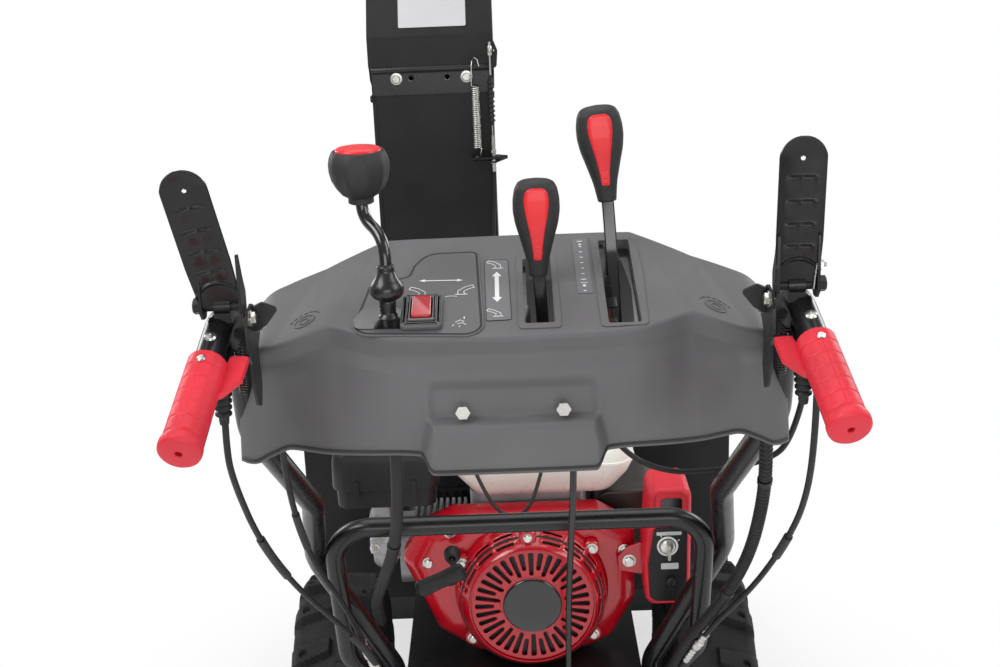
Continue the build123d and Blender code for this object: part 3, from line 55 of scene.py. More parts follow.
# ------------------------------------------------------------------ materials
def new_material(name, colour, rough, slot=None, metal=0.0, spread=0.15, blotch=14.0, grain=900.0, bump=0.1,
                 coat=0.0, rough_spread=0.12, dust=0.0, specular=0.5):
    """A surface with blotchy colour and roughness and a fine grain; slot is its usual CAD material."""
    made = bpy.data.materials.new(name)
    SLOT_OF[made.name] = slot or name
    made.use_nodes = True
    nodes = made.node_tree.nodes
    links = made.node_tree.links
    shader = nodes["Principled BSDF"]
    shader.inputs["Metallic"].default_value = metal
    shader.inputs["Coat Weight"].default_value = coat
    shader.inputs["Coat Roughness"].default_value = 0.12
    shader.inputs["Specular IOR Level"].default_value = specular
    place = nodes.new("ShaderNodeTexCoord").outputs["Object"]

    def noise(scale, detail):
        made_noise = nodes.new("ShaderNodeTexNoise")
        made_noise.inputs["Scale"].default_value = scale
        made_noise.inputs["Detail"].default_value = detail
        links.new(place, made_noise.inputs["Vector"])
        return made_noise.outputs["Fac"]

    wide = noise(blotch, 4.0)
    ramp = nodes.new("ShaderNodeValToRGB")
    low, high = ramp.color_ramp.elements
    low.position = 0.3
    high.position = 0.7
    low.color = [max(0.0, c * (1 - spread)) for c in colour] + [1]
    high.color = [min(1.0, c * (1 + spread) + dust) for c in colour] + [1]
    links.new(wide, ramp.inputs["Fac"])
    links.new(ramp.outputs["Color"], shader.inputs["Base Color"])
    shine = nodes.new("ShaderNodeMapRange")
    shine.inputs["To Min"].default_value = max(0.02, rough - rough_spread)
    shine.inputs["To Max"].default_value = min(1.0, rough + rough_spread)
    links.new(noise(blotch * 5, 6.0), shine.inputs["Value"])
    links.new(shine.outputs["Result"], shader.inputs["Roughness"])
    relief = nodes.new("ShaderNodeBump")
    relief.inputs["Strength"].default_value = bump
    relief.inputs["Distance"].default_value = 0.0004
    links.new(noise(grain, 3.0), relief.inputs["Height"])
    links.new(relief.outputs["Normal"], shader.inputs["Normal"])
    return made


POWDER = new_material("black_powder_coat", (0.009, 0.009, 0.01), 0.4, grain=1500, bump=0.18, spread=0.25,
                      specular=0.3)
STRIP_BLACK = new_material("strip_black", (0.012, 0.012, 0.013), 0.3, slot="black_powder_coat", grain=900,
                           bump=0.1, spread=0.3)
TUBE_BLACK = new_material("frame_black", (0.008, 0.008, 0.009), 0.3, grain=1100, bump=0.06, coat=0.15,
                          spread=0.3, specular=0.4)
RED_GRIP = new_material("red_plastic", (0.66, 0.014, 0.032), 0.48, grain=2200, bump=0.16, spread=0.1)
RED_KNOB = new_material("red_insert", (0.78, 0.012, 0.02), 0.34, slot="red_plastic", grain=2600, bump=0.12,
                        spread=0.08, coat=0.15)
RED_PAINT = new_material("red_paint", (0.56, 0.006, 0.014), 0.24, grain=500, bump=0.05, coat=0.6,
                         spread=0.12)
# a darker copy of the red paint: its deeper gloss red, darkened further as painted shade for the engine under
# the console
RED_GLOSS_SHADED = new_material("red_gloss_shaded", (0.46, 0.004, 0.014), 0.2, slot="red_paint", grain=400, bump=0.03,
                         coat=0.5, spread=0.1)
CONSOLE_GREY = new_material("console_grey", (0.105, 0.104, 0.108), 0.52, grain=2400, bump=0.22, spread=0.06,
                            rough_spread=0.05)
PANEL_GREY = new_material("panel_grey", (0.085, 0.084, 0.088), 0.36, slot="console_grey", grain=1800,
                          bump=0.06, spread=0.05, rough_spread=0.05)
LABEL_GREY = new_material("label_grey", (0.125, 0.124, 0.13), 0.4, slot="console_grey", grain=1800,
                          bump=0.05, spread=0.05, rough_spread=0.05)
PLASTIC = new_material("black_plastic", (0.01, 0.01, 0.0105), 0.42, specular=0.38, grain=1900, bump=0.14,
                       spread=0.25)
SOFT_BLACK = new_material("soft_black", (0.017, 0.017, 0.0175), 0.58, slot="black_plastic", grain=2600,
                          bump=0.3, spread=0.2)
GLOSS_BLACK = new_material("gloss_black", (0.008, 0.008, 0.009), 0.14, slot="black_plastic", grain=500,
                           bump=0.02, coat=0.6)
GLOSS_SATIN = new_material("satin_black", (0.007, 0.007, 0.0075), 0.32, slot="black_powder_coat",
                           grain=1400, bump=0.1, spread=0.3, specular=0.4)
BOOT_BLACK = new_material("boot_black", (0.01, 0.01, 0.011), 0.3, slot="cable_rubber", grain=1300,
                          bump=0.08, spread=0.2, coat=0.2)
RUBBER = new_material("cable_rubber", (0.011, 0.011, 0.0115), 0.5, specular=0.35, grain=1300, bump=0.15,
                      spread=0.3)
TYRE = new_material("tyre_rubber", (0.011, 0.011, 0.011), 0.7, specular=0.3, grain=700, bump=0.5,
                    spread=0.35, dust=0.012)
STEEL = new_material("bright_steel", (0.62, 0.61, 0.58), 0.28, metal=1.0, grain=1600, bump=0.12,
                     spread=0.12)
CAST = new_material("cast_aluminium", (0.42, 0.42, 0.43), 0.5, metal=0.85, grain=900, bump=0.4, spread=0.15)
IRON = new_material("cast_iron_grey", (0.07, 0.07, 0.07), 0.6, metal=0.6, grain=700, bump=0.5, spread=0.3)
CREAM = new_material("cream_plastic", (0.86, 0.86, 0.79), 0.3, grain=700, bump=0.05, coat=0.25, spread=0.02)
WHITE_PRINT = new_material("white_print", (0.72, 0.72, 0.72), 0.5, slot="console_grey", grain=1500,
                           bump=0.05, spread=0.06)
LABEL_WHITE = new_material("label_white", (0.52, 0.52, 0.53), 0.42, slot="black_plastic", grain=900,
                           bump=0.05, spread=0.03)
HEAT_STEEL = new_material("heated_steel", (0.09, 0.08, 0.075), 0.42, slot="bright_steel", metal=0.9,
                          grain=600, bump=0.25, spread=0.25)

NODE_MATERIALS = {
    "black_powder_coat": POWDER, "frame_black": TUBE_BLACK, "red_plastic": RED_GRIP, "red_paint": RED_PAINT,
    "console_grey": CONSOLE_GREY, "black_plastic": PLASTIC, "tyre_rubber": TYRE, "cable_rubber": RUBBER,
    "bright_steel": STEEL, "cast_aluminium": CAST, "cast_iron_grey": IRON, "cream_plastic": CREAM,
}
for subpart in frame["record"]["subparts"]:
    shell = frame["nodes"][subpart["node"]]
    shell.data.materials.clear()
    shell.data.materials.append(NODE_MATERIALS[subpart["material_slot"]])


# ------------------------------------------------------------------ mesh tools
def finish_mesh(name, mesh, material, body="frame", slot=None, nodes=(), bevel=0.0, segments=2, angle=35,
                levels=0, thickness=0.0):
    """Gives a mesh its material, its body and the node it stands for, and rounds its edges."""
    piece = bpy.data.objects.new(name, mesh)
    bpy.context.scene.collection.objects.link(piece)
    mesh.materials.append(material)
    if thickness:
        shell_wall = piece.modifiers.new("wall", "SOLIDIFY")
        shell_wall.thickness = thickness
        shell_wall.offset = -1
    if bevel:
        rounding = piece.modifiers.new("edges", "BEVEL")
        rounding.width = bevel
        rounding.segments = segments
        rounding.limit_method = "ANGLE"
        rounding.angle_limit = radians(30)
    if levels:
        smoothing = piece.modifiers.new("smooth", "SUBSURF")
        smoothing.levels = levels
        smoothing.render_levels = levels
    mesh.shade_smooth()
    if not levels:
        mesh.set_sharp_from_angle(angle=radians(angle))
    slot = slot or SLOT_OF[material.name]
    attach(piece, body)
    if nodes:
        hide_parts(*nodes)
    return piece


def mesh_from(name, points, faces):
    """A mesh whose faces all look outward."""
    mesh = bpy.data.meshes.new(name)
    mesh.from_pydata([tuple(p) for p in points], [], faces)
    work = bmesh.new()
    work.from_mesh(mesh)
    bmesh.ops.recalc_face_normals(work, faces=work.faces)
    work.to_mesh(mesh)
    work.free()
    return mesh


def skin(rings, close_ends=True):
    """Points and faces of a surface through rings of equal length."""
    count = len(rings[0])
    points = [p for ring in rings for p in ring]
    faces = []
    for row in range(len(rings) - 1):
        for step in range(count):
            here = row * count + step
            after = row * count + (step + 1) % count
            faces.append((here, after, after + count, here + count))
    if close_ends:
        faces.append(tuple(reversed(range(count))))
        last = (len(rings) - 1) * count
        faces.append(tuple(range(last, last + count)))
    return points, faces


def skinned(name, rings, material, body="frame", slot=None, **finish):
    """A closed piece through rings of equal length."""
    return finish_mesh(name, mesh_from(name, *skin(rings)), material, body, slot, **finish)


def axes_for(direction, side=Vector(ACROSS)):
    """Two unit vectors square to a direction, the first as near to side as it can be."""
    along = Vector(direction).normalized()
    across = (side - along * side.dot(along)).normalized()
    return along, across, along.cross(across)


def round_ring(middle, across, up, radius, steps):
    """A circle of points, in metres, round a middle in millimetres."""
    turns = [2 * pi * k / steps for k in range(steps)]
    return [(middle + (across * cos(turn) + up * sin(turn)) * radius) * MM for turn in turns]


def turned(name, profile, origin, direction, material, body="frame", steps=64, **finish):
    """A turned piece: profile pairs are (radius, distance along the axis), in millimetres."""
    along, across, up = axes_for(direction, Vector(ACROSS) if abs(Vector(direction).normalized().x) < 0.9
                                 else Vector(AHEAD))
    rings = []
    for radius, reach in profile:
        rings.append(round_ring(Vector(origin) + along * reach, across, up, radius, steps))
    return skinned(name, rings, material, body, **finish)


def slab(name, groups, spot, normal, depth, material, body="frame", **finish):
    """Flat shapes made depth thick. Each group is an outline and the holes in it, placed by spot(x, y)."""
    work = bmesh.new()
    for loops in groups:
        edges = []
        for loop in loops:
            corners = [work.verts.new(spot(x, y) * MM) for x, y in loop]
            edges += [work.edges.new((corner, corners[(k + 1) % len(corners)]))
                      for k, corner in enumerate(corners)]
        bmesh.ops.triangle_fill(work, use_beauty=True, use_dissolve=False, edges=edges, normal=normal)
    thickened = bmesh.ops.extrude_face_region(work, geom=list(work.faces))
    moved = [g for g in thickened["geom"] if isinstance(g, bmesh.types.BMVert)]
    bmesh.ops.translate(work, verts=moved, vec=normal * depth * MM)
    bmesh.ops.recalc_face_normals(work, faces=work.faces)
    mesh = bpy.data.meshes.new(name)
    work.to_mesh(mesh)
    work.free()
    return finish_mesh(name, mesh, material, body, **finish)


def plate(name, outline, origin, x_axis, y_axis, depth, material, body="frame", holes=(), **finish):
    """An outline in a plane, given in millimetres, made depth thick along the plane's normal."""
    origin = Vector(origin)
    x_axis = Vector(x_axis).normalized()
    y_axis = Vector(y_axis).normalized()
    return slab(name, [(outline, *holes)], lambda x, y: origin + x_axis * x + y_axis * y,
                x_axis.cross(y_axis), depth, material, body, **finish)


def rounded(corners, radius, steps=6):
    """An outline with every corner rounded; radius is one number or one for each corner."""
    count = len(corners)
    radii = radius if isinstance(radius, (list, tuple)) else [radius] * count
    outline = []
    for k in range(count):
        corner = Vector(corners[k])
        before = Vector(corners[k - 1]) - corner
        after = Vector(corners[(k + 1) % count]) - corner
        half = before.angle(after) / 2
        reach = min(radii[k] / tan(half), 0.49 * before.length, 0.49 * after.length)
        size = reach * tan(half)
        middle = corner + (before.normalized() + after.normalized()).normalized() * (size / sin(half))
        start = corner + before.normalized() * reach - middle
        end = corner + after.normalized() * reach - middle
        for s in range(steps + 1):
            share = s / steps
            spot = start.lerp(end, share)
            if spot.length:
                spot = spot.normalized() * size
            outline.append(tuple(middle + spot))
    return outline


def ellipse(width, height, steps=24):
    """The outline of an ellipse."""
    return [(width / 2 * cos(2 * pi * k / steps), height / 2 * sin(2 * pi * k / steps))
            for k in range(steps)]


def hex_bolt(name, origin, direction, size, height, body="frame", material=None):
    """A flanged hex bolt head with a chamfered top."""
    along, across, up = axes_for(direction, Vector(RISE))
    flange = ((size * 0.78, 0), (size * 0.78, 1.0), (size * 0.6, 1.3))
    rings = [[(radius, k * 15, reach) for k in range(24)] for radius, reach in flange]
    for share, reach in ((0.5, 1.3), (0.5, height - 1.0), (0.43, height), (0.3, height)):
        ring = []
        for k in range(24):
            wedge = radians((k * 15) % 60 - 30)
            radius = size * share
            if share == 0.5:
                radius /= cos(wedge)
            elif share > 0.4:
                radius *= 1.06
            ring.append((radius, k * 15, reach))
        rings.append(ring)
    made = [[(Vector(origin) + along * reach + (across * cos(radians(a)) + up * sin(radians(a))) * r) * MM
             for r, a, reach in ring] for ring in rings]
    return skinned(name, made, material or STEEL, body, "bright_steel", angle=25)


def smooth_curve(name, points, resolution):
    """A curve led by millimetre points."""
    curve = bpy.data.curves.new(name, "CURVE")
    curve.dimensions = "3D"
    line = curve.splines.new("NURBS")
    line.points.add(len(points) - 1)
    for spot, place in zip(line.points, points):
        spot.co = (*[c * MM for c in place], 1)
    line.order_u = 3
    line.use_endpoint_u = True
    line.resolution_u = resolution
    return curve


def pipe(name, points, radius, material, body="frame", slot=None, nodes=()):
    """A smooth round line led by millimetre points."""
    curve = smooth_curve(name, points, 12)
    curve.bevel_depth = radius * MM
    curve.bevel_resolution = 6
    curve.use_fill_caps = True
    curve.materials.append(material)
    piece = bpy.data.objects.new(name, curve)
    bpy.context.scene.collection.objects.link(piece)
    slot = slot or SLOT_OF[material.name]
    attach(piece, body)
    if nodes:
        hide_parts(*nodes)
    return piece


def line_points(points):
    """The places along a smooth line of millimetre points, in metres, read from its spline."""
    curve = smooth_curve("route", points, 24)
    holder = bpy.data.objects.new("route", curve)
    mesh = bpy.data.meshes.new_from_object(holder)
    places = [v.co.copy() for v in mesh.vertices]
    bpy.data.objects.remove(holder)
    bpy.data.meshes.remove(mesh)
    return places


def smoothstep(value):
    """Eases from 0 to 1."""
    value = np.clip(value, 0, 1)
    return value * value * (3 - 2 * value)


# ------------------------------------------------------------------ camera, floor and light
def add_camera():
    """The camera behind the operator's place, turned a little and looking down at the console."""
    yaw, pitch, roll = radians(0.6), radians(-17.8), radians(-2.3)
    forward = Vector((-sin(yaw) * cos(pitch), cos(yaw) * cos(pitch), sin(pitch)))
    level = Vector((cos(yaw), sin(yaw), 0))
    upright = level.cross(forward)
    right = level * cos(roll) + upright * sin(roll)
    up = upright * cos(roll) - level * sin(roll)
    camera = bpy.data.objects.new("camera", bpy.data.cameras.new("camera"))
    bpy.context.scene.collection.objects.link(camera)
    camera.matrix_world = Matrix((
        (right.x, up.x, -forward.x, 0.0038),
        (right.y, up.y, -forward.y, -1.9219),
        (right.z, up.z, -forward.z, 1.3845),
        (0, 0, 0, 1),
    ))
    camera.data.sensor_width = 36
    camera.data.lens = 51.6
    camera.data.clip_end = 60
    bpy.context.scene.camera = camera


def add_lamp(name, place, target, size, watts, height=None):
    """An area lamp that looks at a target."""
    lamp = bpy.data.lights.new(name, "AREA")
    lamp.shape = "RECTANGLE"
    lamp.size = size
    lamp.size_y = height or size
    lamp.energy = watts
    holder = bpy.data.objects.new(name, lamp)
    bpy.context.scene.collection.objects.link(holder)
    holder.location = place
    holder.rotation_euler = (Vector(target) - Vector(place)).to_track_quat("-Z", "Y").to_euler()


def seen_white(tree, shader, output):
    """Lays a plain white, seen by camera and transmitted rays only, over a shader."""
    nodes, links = tree.nodes, tree.links
    path = nodes.new("ShaderNodeLightPath")
    either = nodes.new("ShaderNodeMath")
    either.operation = "MAXIMUM"
    links.new(path.outputs["Is Camera Ray"], either.inputs[0])
    links.new(path.outputs["Is Transmission Ray"], either.inputs[1])
    glow = nodes.new("ShaderNodeBackground")
    glow.inputs["Color"].default_value = PURE_WHITE
    mix = nodes.new("ShaderNodeMixShader")
    links.new(either.outputs["Value"], mix.inputs["Fac"])
    links.new(shader, mix.inputs[1])
    links.new(glow.outputs["Background"], mix.inputs[2])
    links.new(mix.outputs["Shader"], output.inputs["Surface"])


def floor_paper():
    """White paper that keeps a shadow near the machine and is seen as plain white away from it."""
    paper = new_material("floor_white", (0.88, 0.88, 0.88), 0.7, spread=0.01, grain=60, bump=0.02)
    tree = paper.node_tree
    nodes, links = tree.nodes, tree.links
    reach = nodes.new("ShaderNodeVectorMath")
    reach.operation = "LENGTH"
    links.new(nodes.new("ShaderNodeTexCoord").outputs["Object"], reach.inputs[0])
    fade = nodes.new("ShaderNodeMapRange")
    fade.inputs["From Min"].default_value = 0.3
    fade.inputs["From Max"].default_value = 0.95
    fade.inputs["To Min"].default_value = 0.45
    fade.interpolation_type = "SMOOTHSTEP"
    links.new(reach.outputs["Value"], fade.inputs["Value"])
    share = nodes.new("ShaderNodeMath")
    share.operation = "MULTIPLY"
    links.new(fade.outputs["Result"], share.inputs[0])
    links.new(nodes.new("ShaderNodeLightPath").outputs["Is Camera Ray"], share.inputs[1])
    glow = nodes.new("ShaderNodeEmission")
    glow.inputs["Color"].default_value = PURE_WHITE
    mix = nodes.new("ShaderNodeMixShader")
    links.new(share.outputs["Value"], mix.inputs["Fac"])
    links.new(nodes["Principled BSDF"].outputs["BSDF"], mix.inputs[1])
    links.new(glow.outputs["Emission"], mix.inputs[2])
    links.new(mix.outputs["Shader"], nodes["Material Output"].inputs["Surface"])
    return paper


def add_stage():
    """A white room: a pale floor that keeps a soft shadow, and a plain white sky."""
    world = bpy.data.worlds.new("studio")
    bpy.context.scene.world = world
    world.use_nodes = True
    tree = world.node_tree
    lit = tree.nodes["Background"]
    lit.inputs["Color"].default_value = PURE_WHITE
    lit.inputs["Strength"].default_value = 0.36
    seen_white(tree, lit.outputs["Background"], tree.nodes["World Output"])
    mesh = bpy.data.meshes.new("floor")
    mesh.from_pydata([(-9, -9, 0), (9, -9, 0), (9, 9, 0), (-9, 9, 0)], [], [(0, 1, 2, 3)])
    floor = bpy.data.objects.new("floor", mesh)
    bpy.context.scene.collection.objects.link(floor)
    floor.location.z = -0.0005
    floor.data.materials.append(floor_paper())
    add_lamp("key", (-1.9, -1.6, 3.0), (0, -0.2, 0.7), 1.6, 52)
    add_lamp("fill", (2.6, -1.3, 2.3), (0.1, -0.2, 0.6), 1.8, 34)
    add_lamp("front", (0.2, -3.4, 1.2), (0, -0.3, 0.5), 2.2, 24, 1.2)
    add_lamp("top", (0, 0.4, 3.4), (0, 0, 0.4), 2.4, 34)
    add_lamp("rim_left", (-2.4, 2.0, 1.7), (0, 0, 0.8), 1.2, 24)
    add_lamp("rim_right", (2.4, 2.0, 1.7), (0, 0, 0.8), 1.2, 24)


add_camera()
add_stage()


# ------------------------------------------------------------------ console
# Each section: place across, then back foot, back top, deck front and skirt foot along y, and foot height, mm
CONSOLE_KEYS = np.array([
    (0, -370, -577, -598, 818),
    (80, -371, -575, -597, 818),
    (94, -371, -574, -592, 831),
    (125, -372, -570, -591, 833),
    (150, -374, -561, -589, 833),
    (185, -380, -545, -583, 833),
    (225, -390, -543, -567, 833),
    (250, -399, -537, -560, 823),
    (264, -404, -530, -556, 815),
    (276, -417, -519, -546, 811),
    (286, -432, -506, -533, 809),
], float)
DECK_SLOPE = radians(15.5)
DECK_FRONT = Vector((0, -575, 949))
DECK_RUN = Vector((0, cos(DECK_SLOPE), sin(DECK_SLOPE)))
DECK_UP = Vector((0, -sin(DECK_SLOPE), cos(DECK_SLOPE)))
SKIRT_TOP = 36
SHELF_Z = 866
console_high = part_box("console")[1] / MM


def on_deck(x, y, lift=0.0):
    """A point on the console's sloping deck at a plan position, lifted along its normal."""
    return Vector((x, y, DECK_FRONT.z + (y - DECK_FRONT.y) * tan(DECK_SLOPE))) + DECK_UP * lift


def plateau_edge(y):
    """Where the raised middle of the deck ends, a line that spreads towards the front."""
    share = (y + 380) / -160
    return 136 + 46 * share + 8 * share * (1 - share)


def deck_height(x, y):
    """The deck's surface: a plateau, then a facet and a rounded shoulder falling to the wing."""
    beyond = abs(x) - plateau_edge(y)
    eased = max(0.0, beyond - 1.5) if beyond > 3 else (beyond / 3) ** 2 * 1.5 if beyond > 0 else 0.0
    drop = 0.40 * eased
    if eased > 62:
        drop -= 0.16 * (eased - 62)
    drop += 16 * float(smoothstep((abs(x) - 248) / 44)) ** 1.4
    return DECK_FRONT.z + (y - DECK_FRONT.y) * tan(DECK_SLOPE) - drop


def skirt_relief(x, z, foot):
    """How far the skirt stands out beyond its plain face: the bolt shelf and the hollow over it."""
    out = 0.0
    half = 79 + 5 * float(smoothstep((SHELF_Z - z) / 25))
    side = float(smoothstep((half + 10 - abs(x)) / 11))
    if z < SHELF_Z + 4:
        out += 15.0 * side * float(smoothstep((SHELF_Z + 4 - z) / 5))
    hollow = float(smoothstep((88 - abs(x)) / 12)) * float(smoothstep((908 - z) / 14))
    out -= 4.0 * hollow * float(smoothstep((z - SHELF_Z + 8) / 12))
    return out


def console_row(x):
    """One cross-section, from the back foot over the deck and down the skirt."""
    places = CONSOLE_KEYS[:, 0]
    back, front, skirt, foot = (blended(places, CONSOLE_KEYS[:, k], abs(x)) for k in range(1, 5))
    end = float(smoothstep((abs(x) - 240) / 40))
    back_z, front_z = deck_height(x, back), deck_height(x, front)
    cove = front_z - 20 + 6 * end
    top = front_z - SKIRT_TOP + 10 * end
    corners = [(back, 862), (back, back_z), (front, front_z), (front + 3.5, cove),
               (front - 4 + 2 * end, top), (skirt, foot)]
    line = open_rounded(corners, [10, 5 + 8 * end, 12, 7], 6, [6, 48, 3, 2, 62])
    deck_start, deck_end = 6 + 6, 6 + 6 + 48
    row = []
    first, last = line[deck_start], line[deck_end]
    first_gap = deck_height(x, first[0]) - first[1]
    last_gap = deck_height(x, last[0]) - last[1]
    for k, (y, z) in enumerate(line):
        if deck_start <= k <= deck_end:
            share = (y - first[0]) / (last[0] - first[0])
            z = deck_height(x, y) - first_gap * (1 - share) - last_gap * share
        elif k > deck_end and z < top + 4:
            y -= skirt_relief(x, z, foot)
        row.append(Vector((x, y, z)))
    return row


def blended(places, values, at):
    """Smooth interpolation through key values that keeps flats flat."""
    slopes = np.diff(values) / np.diff(places)
    tangents = np.zeros(len(places))
    for k in range(1, len(places) - 1):
        if slopes[k - 1] * slopes[k] > 0:
            tangents[k] = 2 * slopes[k - 1] * slopes[k] / (slopes[k - 1] + slopes[k])
    tangents[-1] = slopes[-1]
    k = min(max(int(np.searchsorted(places, at)) - 1, 0), len(places) - 2)
    width = places[k + 1] - places[k]
    t = (at - places[k]) / width
    return float((2 * t**3 - 3 * t**2 + 1) * values[k] + (t**3 - 2 * t**2 + t) * width * tangents[k]
                 + (3 * t**2 - 2 * t**3) * values[k + 1] + (t**3 - t**2) * width * tangents[k + 1])


def open_rounded(corners, radii, arc_steps, run_steps):
    """Points along an open line with rounded corners, the same number for every line."""
    arcs = []
    for k in range(1, len(corners) - 1):
        corner = Vector(corners[k])
        before = Vector(corners[k - 1]) - corner
        after = Vector(corners[k + 1]) - corner
        half = before.angle(after) / 2
        reach = min(radii[k - 1] / tan(half), 0.46 * before.length, 0.46 * after.length)
        size = reach * tan(half)
        middle = corner + (before.normalized() + after.normalized()).normalized() * (size / sin(half))
        start = corner + before.normalized() * reach
        end = corner + after.normalized() * reach
        arcs.append([middle + (start.lerp(end, s / arc_steps) - middle).normalized() * size
                     for s in range(arc_steps + 1)])
    line = []
    last = Vector(corners[0])
    for arc, steps in zip(arcs, run_steps):
        line += [last.lerp(arc[0], s / steps) for s in range(steps)]
        line += arc[:-1]
        last = arc[-1]
    foot = Vector(corners[-1])
    return line + [last.lerp(foot, s / run_steps[-1]) for s in range(run_steps[-1] + 1)]


SLOTS = {"deflector": (30, -494, 30, 122), "speed": (115, -480, 33, 160)}


def build_console():
    """The console's shell with its two lever slots, and a dark line of painted shade along its foot."""
    half = console_high.x - 1.5
    side = np.concatenate([
        np.linspace(0, 72, 24, endpoint=False), np.linspace(72, 96, 20, endpoint=False),
        np.linspace(96, 200, 46, endpoint=False), np.linspace(200, half, 34),
    ])
    across = np.concatenate([-side[:0:-1], side])
    rows = [console_row(float(x)) for x in across]
    count = len(rows[0])
    points = [p * MM for row in rows for p in row]
    faces = []
    for r in range(len(rows) - 1):
        for k in range(count - 1):
            corners = (r * count + k, r * count + k + 1, (r + 1) * count + k + 1, (r + 1) * count + k)
            middle = sum((points[c] for c in corners), Vector()) / 4 / MM
            inside = 12 < k < 60 and any(
                abs(middle.x - x) < width / 2 + 2.5 and abs(middle.y - y) < length / 2 + 2.5
                for x, y, width, length in SLOTS.values()
            )
            if not inside:
                faces.append(corners)
    for r in (0, len(rows) - 1):
        faces.append(tuple(range(r * count, r * count + count)))
    mesh = mesh_from("console_shell", points, faces)
    finish_mesh("console_shell", mesh, CONSOLE_GREY, nodes=["console"], thickness=0.0026, angle=40)
    # a dark line along the skirt's foot: painted shade in the groove just above its lip
    strip = []
    for x in np.linspace(-half + 3, half - 3, 150):
        places = CONSOLE_KEYS[:, 0]
        skirt, foot = (blended(places, CONSOLE_KEYS[:, k], abs(x)) for k in (3, 4))
        strip.append((float(x), skirt - skirt_relief(float(x), foot + 4, foot) + 0.4, foot + 4))
    mesh_pipe("console_foot_shade_line", strip, 1.5, SOFT_BLACK, slot="console_grey")


def mesh_pipe(name, points, radius, material, body="frame", steps=10, **finish):
    """A round line as a mesh through close millimetre points."""
    rings = []
    for k, point in enumerate(points):
        here = Vector(point)
        run = Vector(points[min(k + 1, len(points) - 1)]) - Vector(points[max(k - 1, 0)])
        along, across, up = axes_for(run, Vector(RISE) if abs(run.normalized().z) < 0.9 else Vector(ACROSS))
        size = radius(k / (len(points) - 1)) if callable(radius) else radius
        rings.append(round_ring(here, across, up, size, steps))
    return skinned(name, rings, material, body, angle=60, **finish)


build_console()


# ------------------------------------------------------------------ what is on the deck
def deck_plate(name, outline, middle, depth, material, lift=0.0, **finish):
    """A plate on the deck; its outline is around a plan middle, x across and y up the slope."""
    return plate(name, outline, on_deck(*middle, lift), ACROSS, DECK_RUN, depth, material, **finish)


def box_outline(width, length, radius, steps=6):
    """A rectangle with rounded corners."""
    x, y = width / 2, length / 2
    return rounded([(-x, -y), (x, -y), (x, y), (-x, y)], radius, steps)


def shifted(outline, dx, dy):
    """The outline moved sideways and up."""
    return [(x + dx, y + dy) for x, y in outline]


def grown(outline, by):
    """The outline moved outward by a distance, for rings round recesses."""
    count = len(outline)
    result = []
    for k in range(count):
        here = Vector(outline[k])
        before = (here - Vector(outline[k - 1]))
        after = (Vector(outline[(k + 1) % count]) - here)
        if before.length == 0 or after.length == 0:
            continue
        normal = (Vector((before.y, -before.x)).normalized()
                  + Vector((after.y, -after.x)).normalized()).normalized()
        result.append(tuple(here + normal * by))
    return result


def recess(name, outline, middle, sill=4.0):
    """A moulded groove round a panel: a dark ring of painted shade in the groove, with a raised, rounded bead
    outside it.
    """
    # the dark ring in the groove is painted shade
    deck_plate(f"{name}_groove", grown(outline, sill * 0.5), middle, 1.1, SOFT_BLACK,
               holes=[grown(outline, -0.4)], lift=-0.2)
    deck_plate(f"{name}_bead", grown(outline, sill * 0.5 + 2.0), middle, 2.1, CONSOLE_GREY,
               holes=[grown(outline, sill * 0.5)], lift=-0.4, bevel=0.0007, segments=3)
    deck_plate(f"{name}_panel", grown(outline, -0.4), middle, 1.9, PANEL_GREY, lift=-0.4, bevel=0.0006,
               segments=3)


def plan(points, middle):
    """Plan places on the deck turned into a deck plate's own outline."""
    return [(x - middle[0], (y - middle[1]) / cos(DECK_SLOPE)) for x, y in points]


# the left panel, with its notched corner beside the joystick
PANEL_MIDDLE = (-90, -495)
panel_corners = [(-157, -562), (-29, -571), (-35, -416), (-86, -417), (-99, -440), (-104, -463),
                 (-143, -469)]
panel_outline = rounded(plan(panel_corners, PANEL_MIDDLE), [16, 16, 6, 22, 16, 10, 16])
recess("left_panel", panel_outline, PANEL_MIDDLE)

# the label with the deflector's arrow
LABEL_MIDDLE = (-12.5, -490)
label_outline = rounded(plan([(-24, -548), (2, -547), (0, -432), (-26, -431)], LABEL_MIDDLE), 3)
deck_plate("deflector_label_edge", label_outline, LABEL_MIDDLE, 0.7, SOFT_BLACK,
           holes=[grown(label_outline, -0.7)], slot="console_grey")
deck_plate("deflector_label", grown(label_outline, -0.7), LABEL_MIDDLE, 0.6, LABEL_GREY)

# the speed label between the slots
SPEED_LABEL_MIDDLE = (78.5, -449)
speed_label = box_outline(16, 113, 2)
deck_plate("speed_label", speed_label, SPEED_LABEL_MIDDLE, 0.7, LABEL_GREY, bevel=0.0003)


def slot_frame(name, middle, width, length, outline):
    """The moulded border of a lever slot, with walls that run down inside the console."""
    hole = box_outline(width, length, 3)
    deck_plate(f"{name}_border", outline, middle, 1.6, CONSOLE_GREY, holes=[hole], lift=-0.4, bevel=0.0008,
               segments=3)
    outer = box_outline(width + 3, length + 3, 4)
    deck_plate(f"{name}_walls", outer, middle, -26, CONSOLE_GREY, holes=[hole])


deflector_x, deflector_y, deflector_w, deflector_l = SLOTS["deflector"]
slot_frame("deflector_slot", (deflector_x, deflector_y), deflector_w, deflector_l / cos(DECK_SLOPE),
           box_outline(deflector_w + 13, (deflector_l + 18) / cos(DECK_SLOPE), 5))
speed_x, speed_y, speed_w, speed_l = SLOTS["speed"]
speed_border = rounded(
    plan([(91, -566), (138, -564), (141, -470), (139, -410), (129, -391), (90, -389)], (speed_x, speed_y)),
    [5, 6, 90, 20, 12, 6],
)
slot_frame("speed_slot", (speed_x, speed_y), speed_w, speed_l / cos(DECK_SLOPE), speed_border)

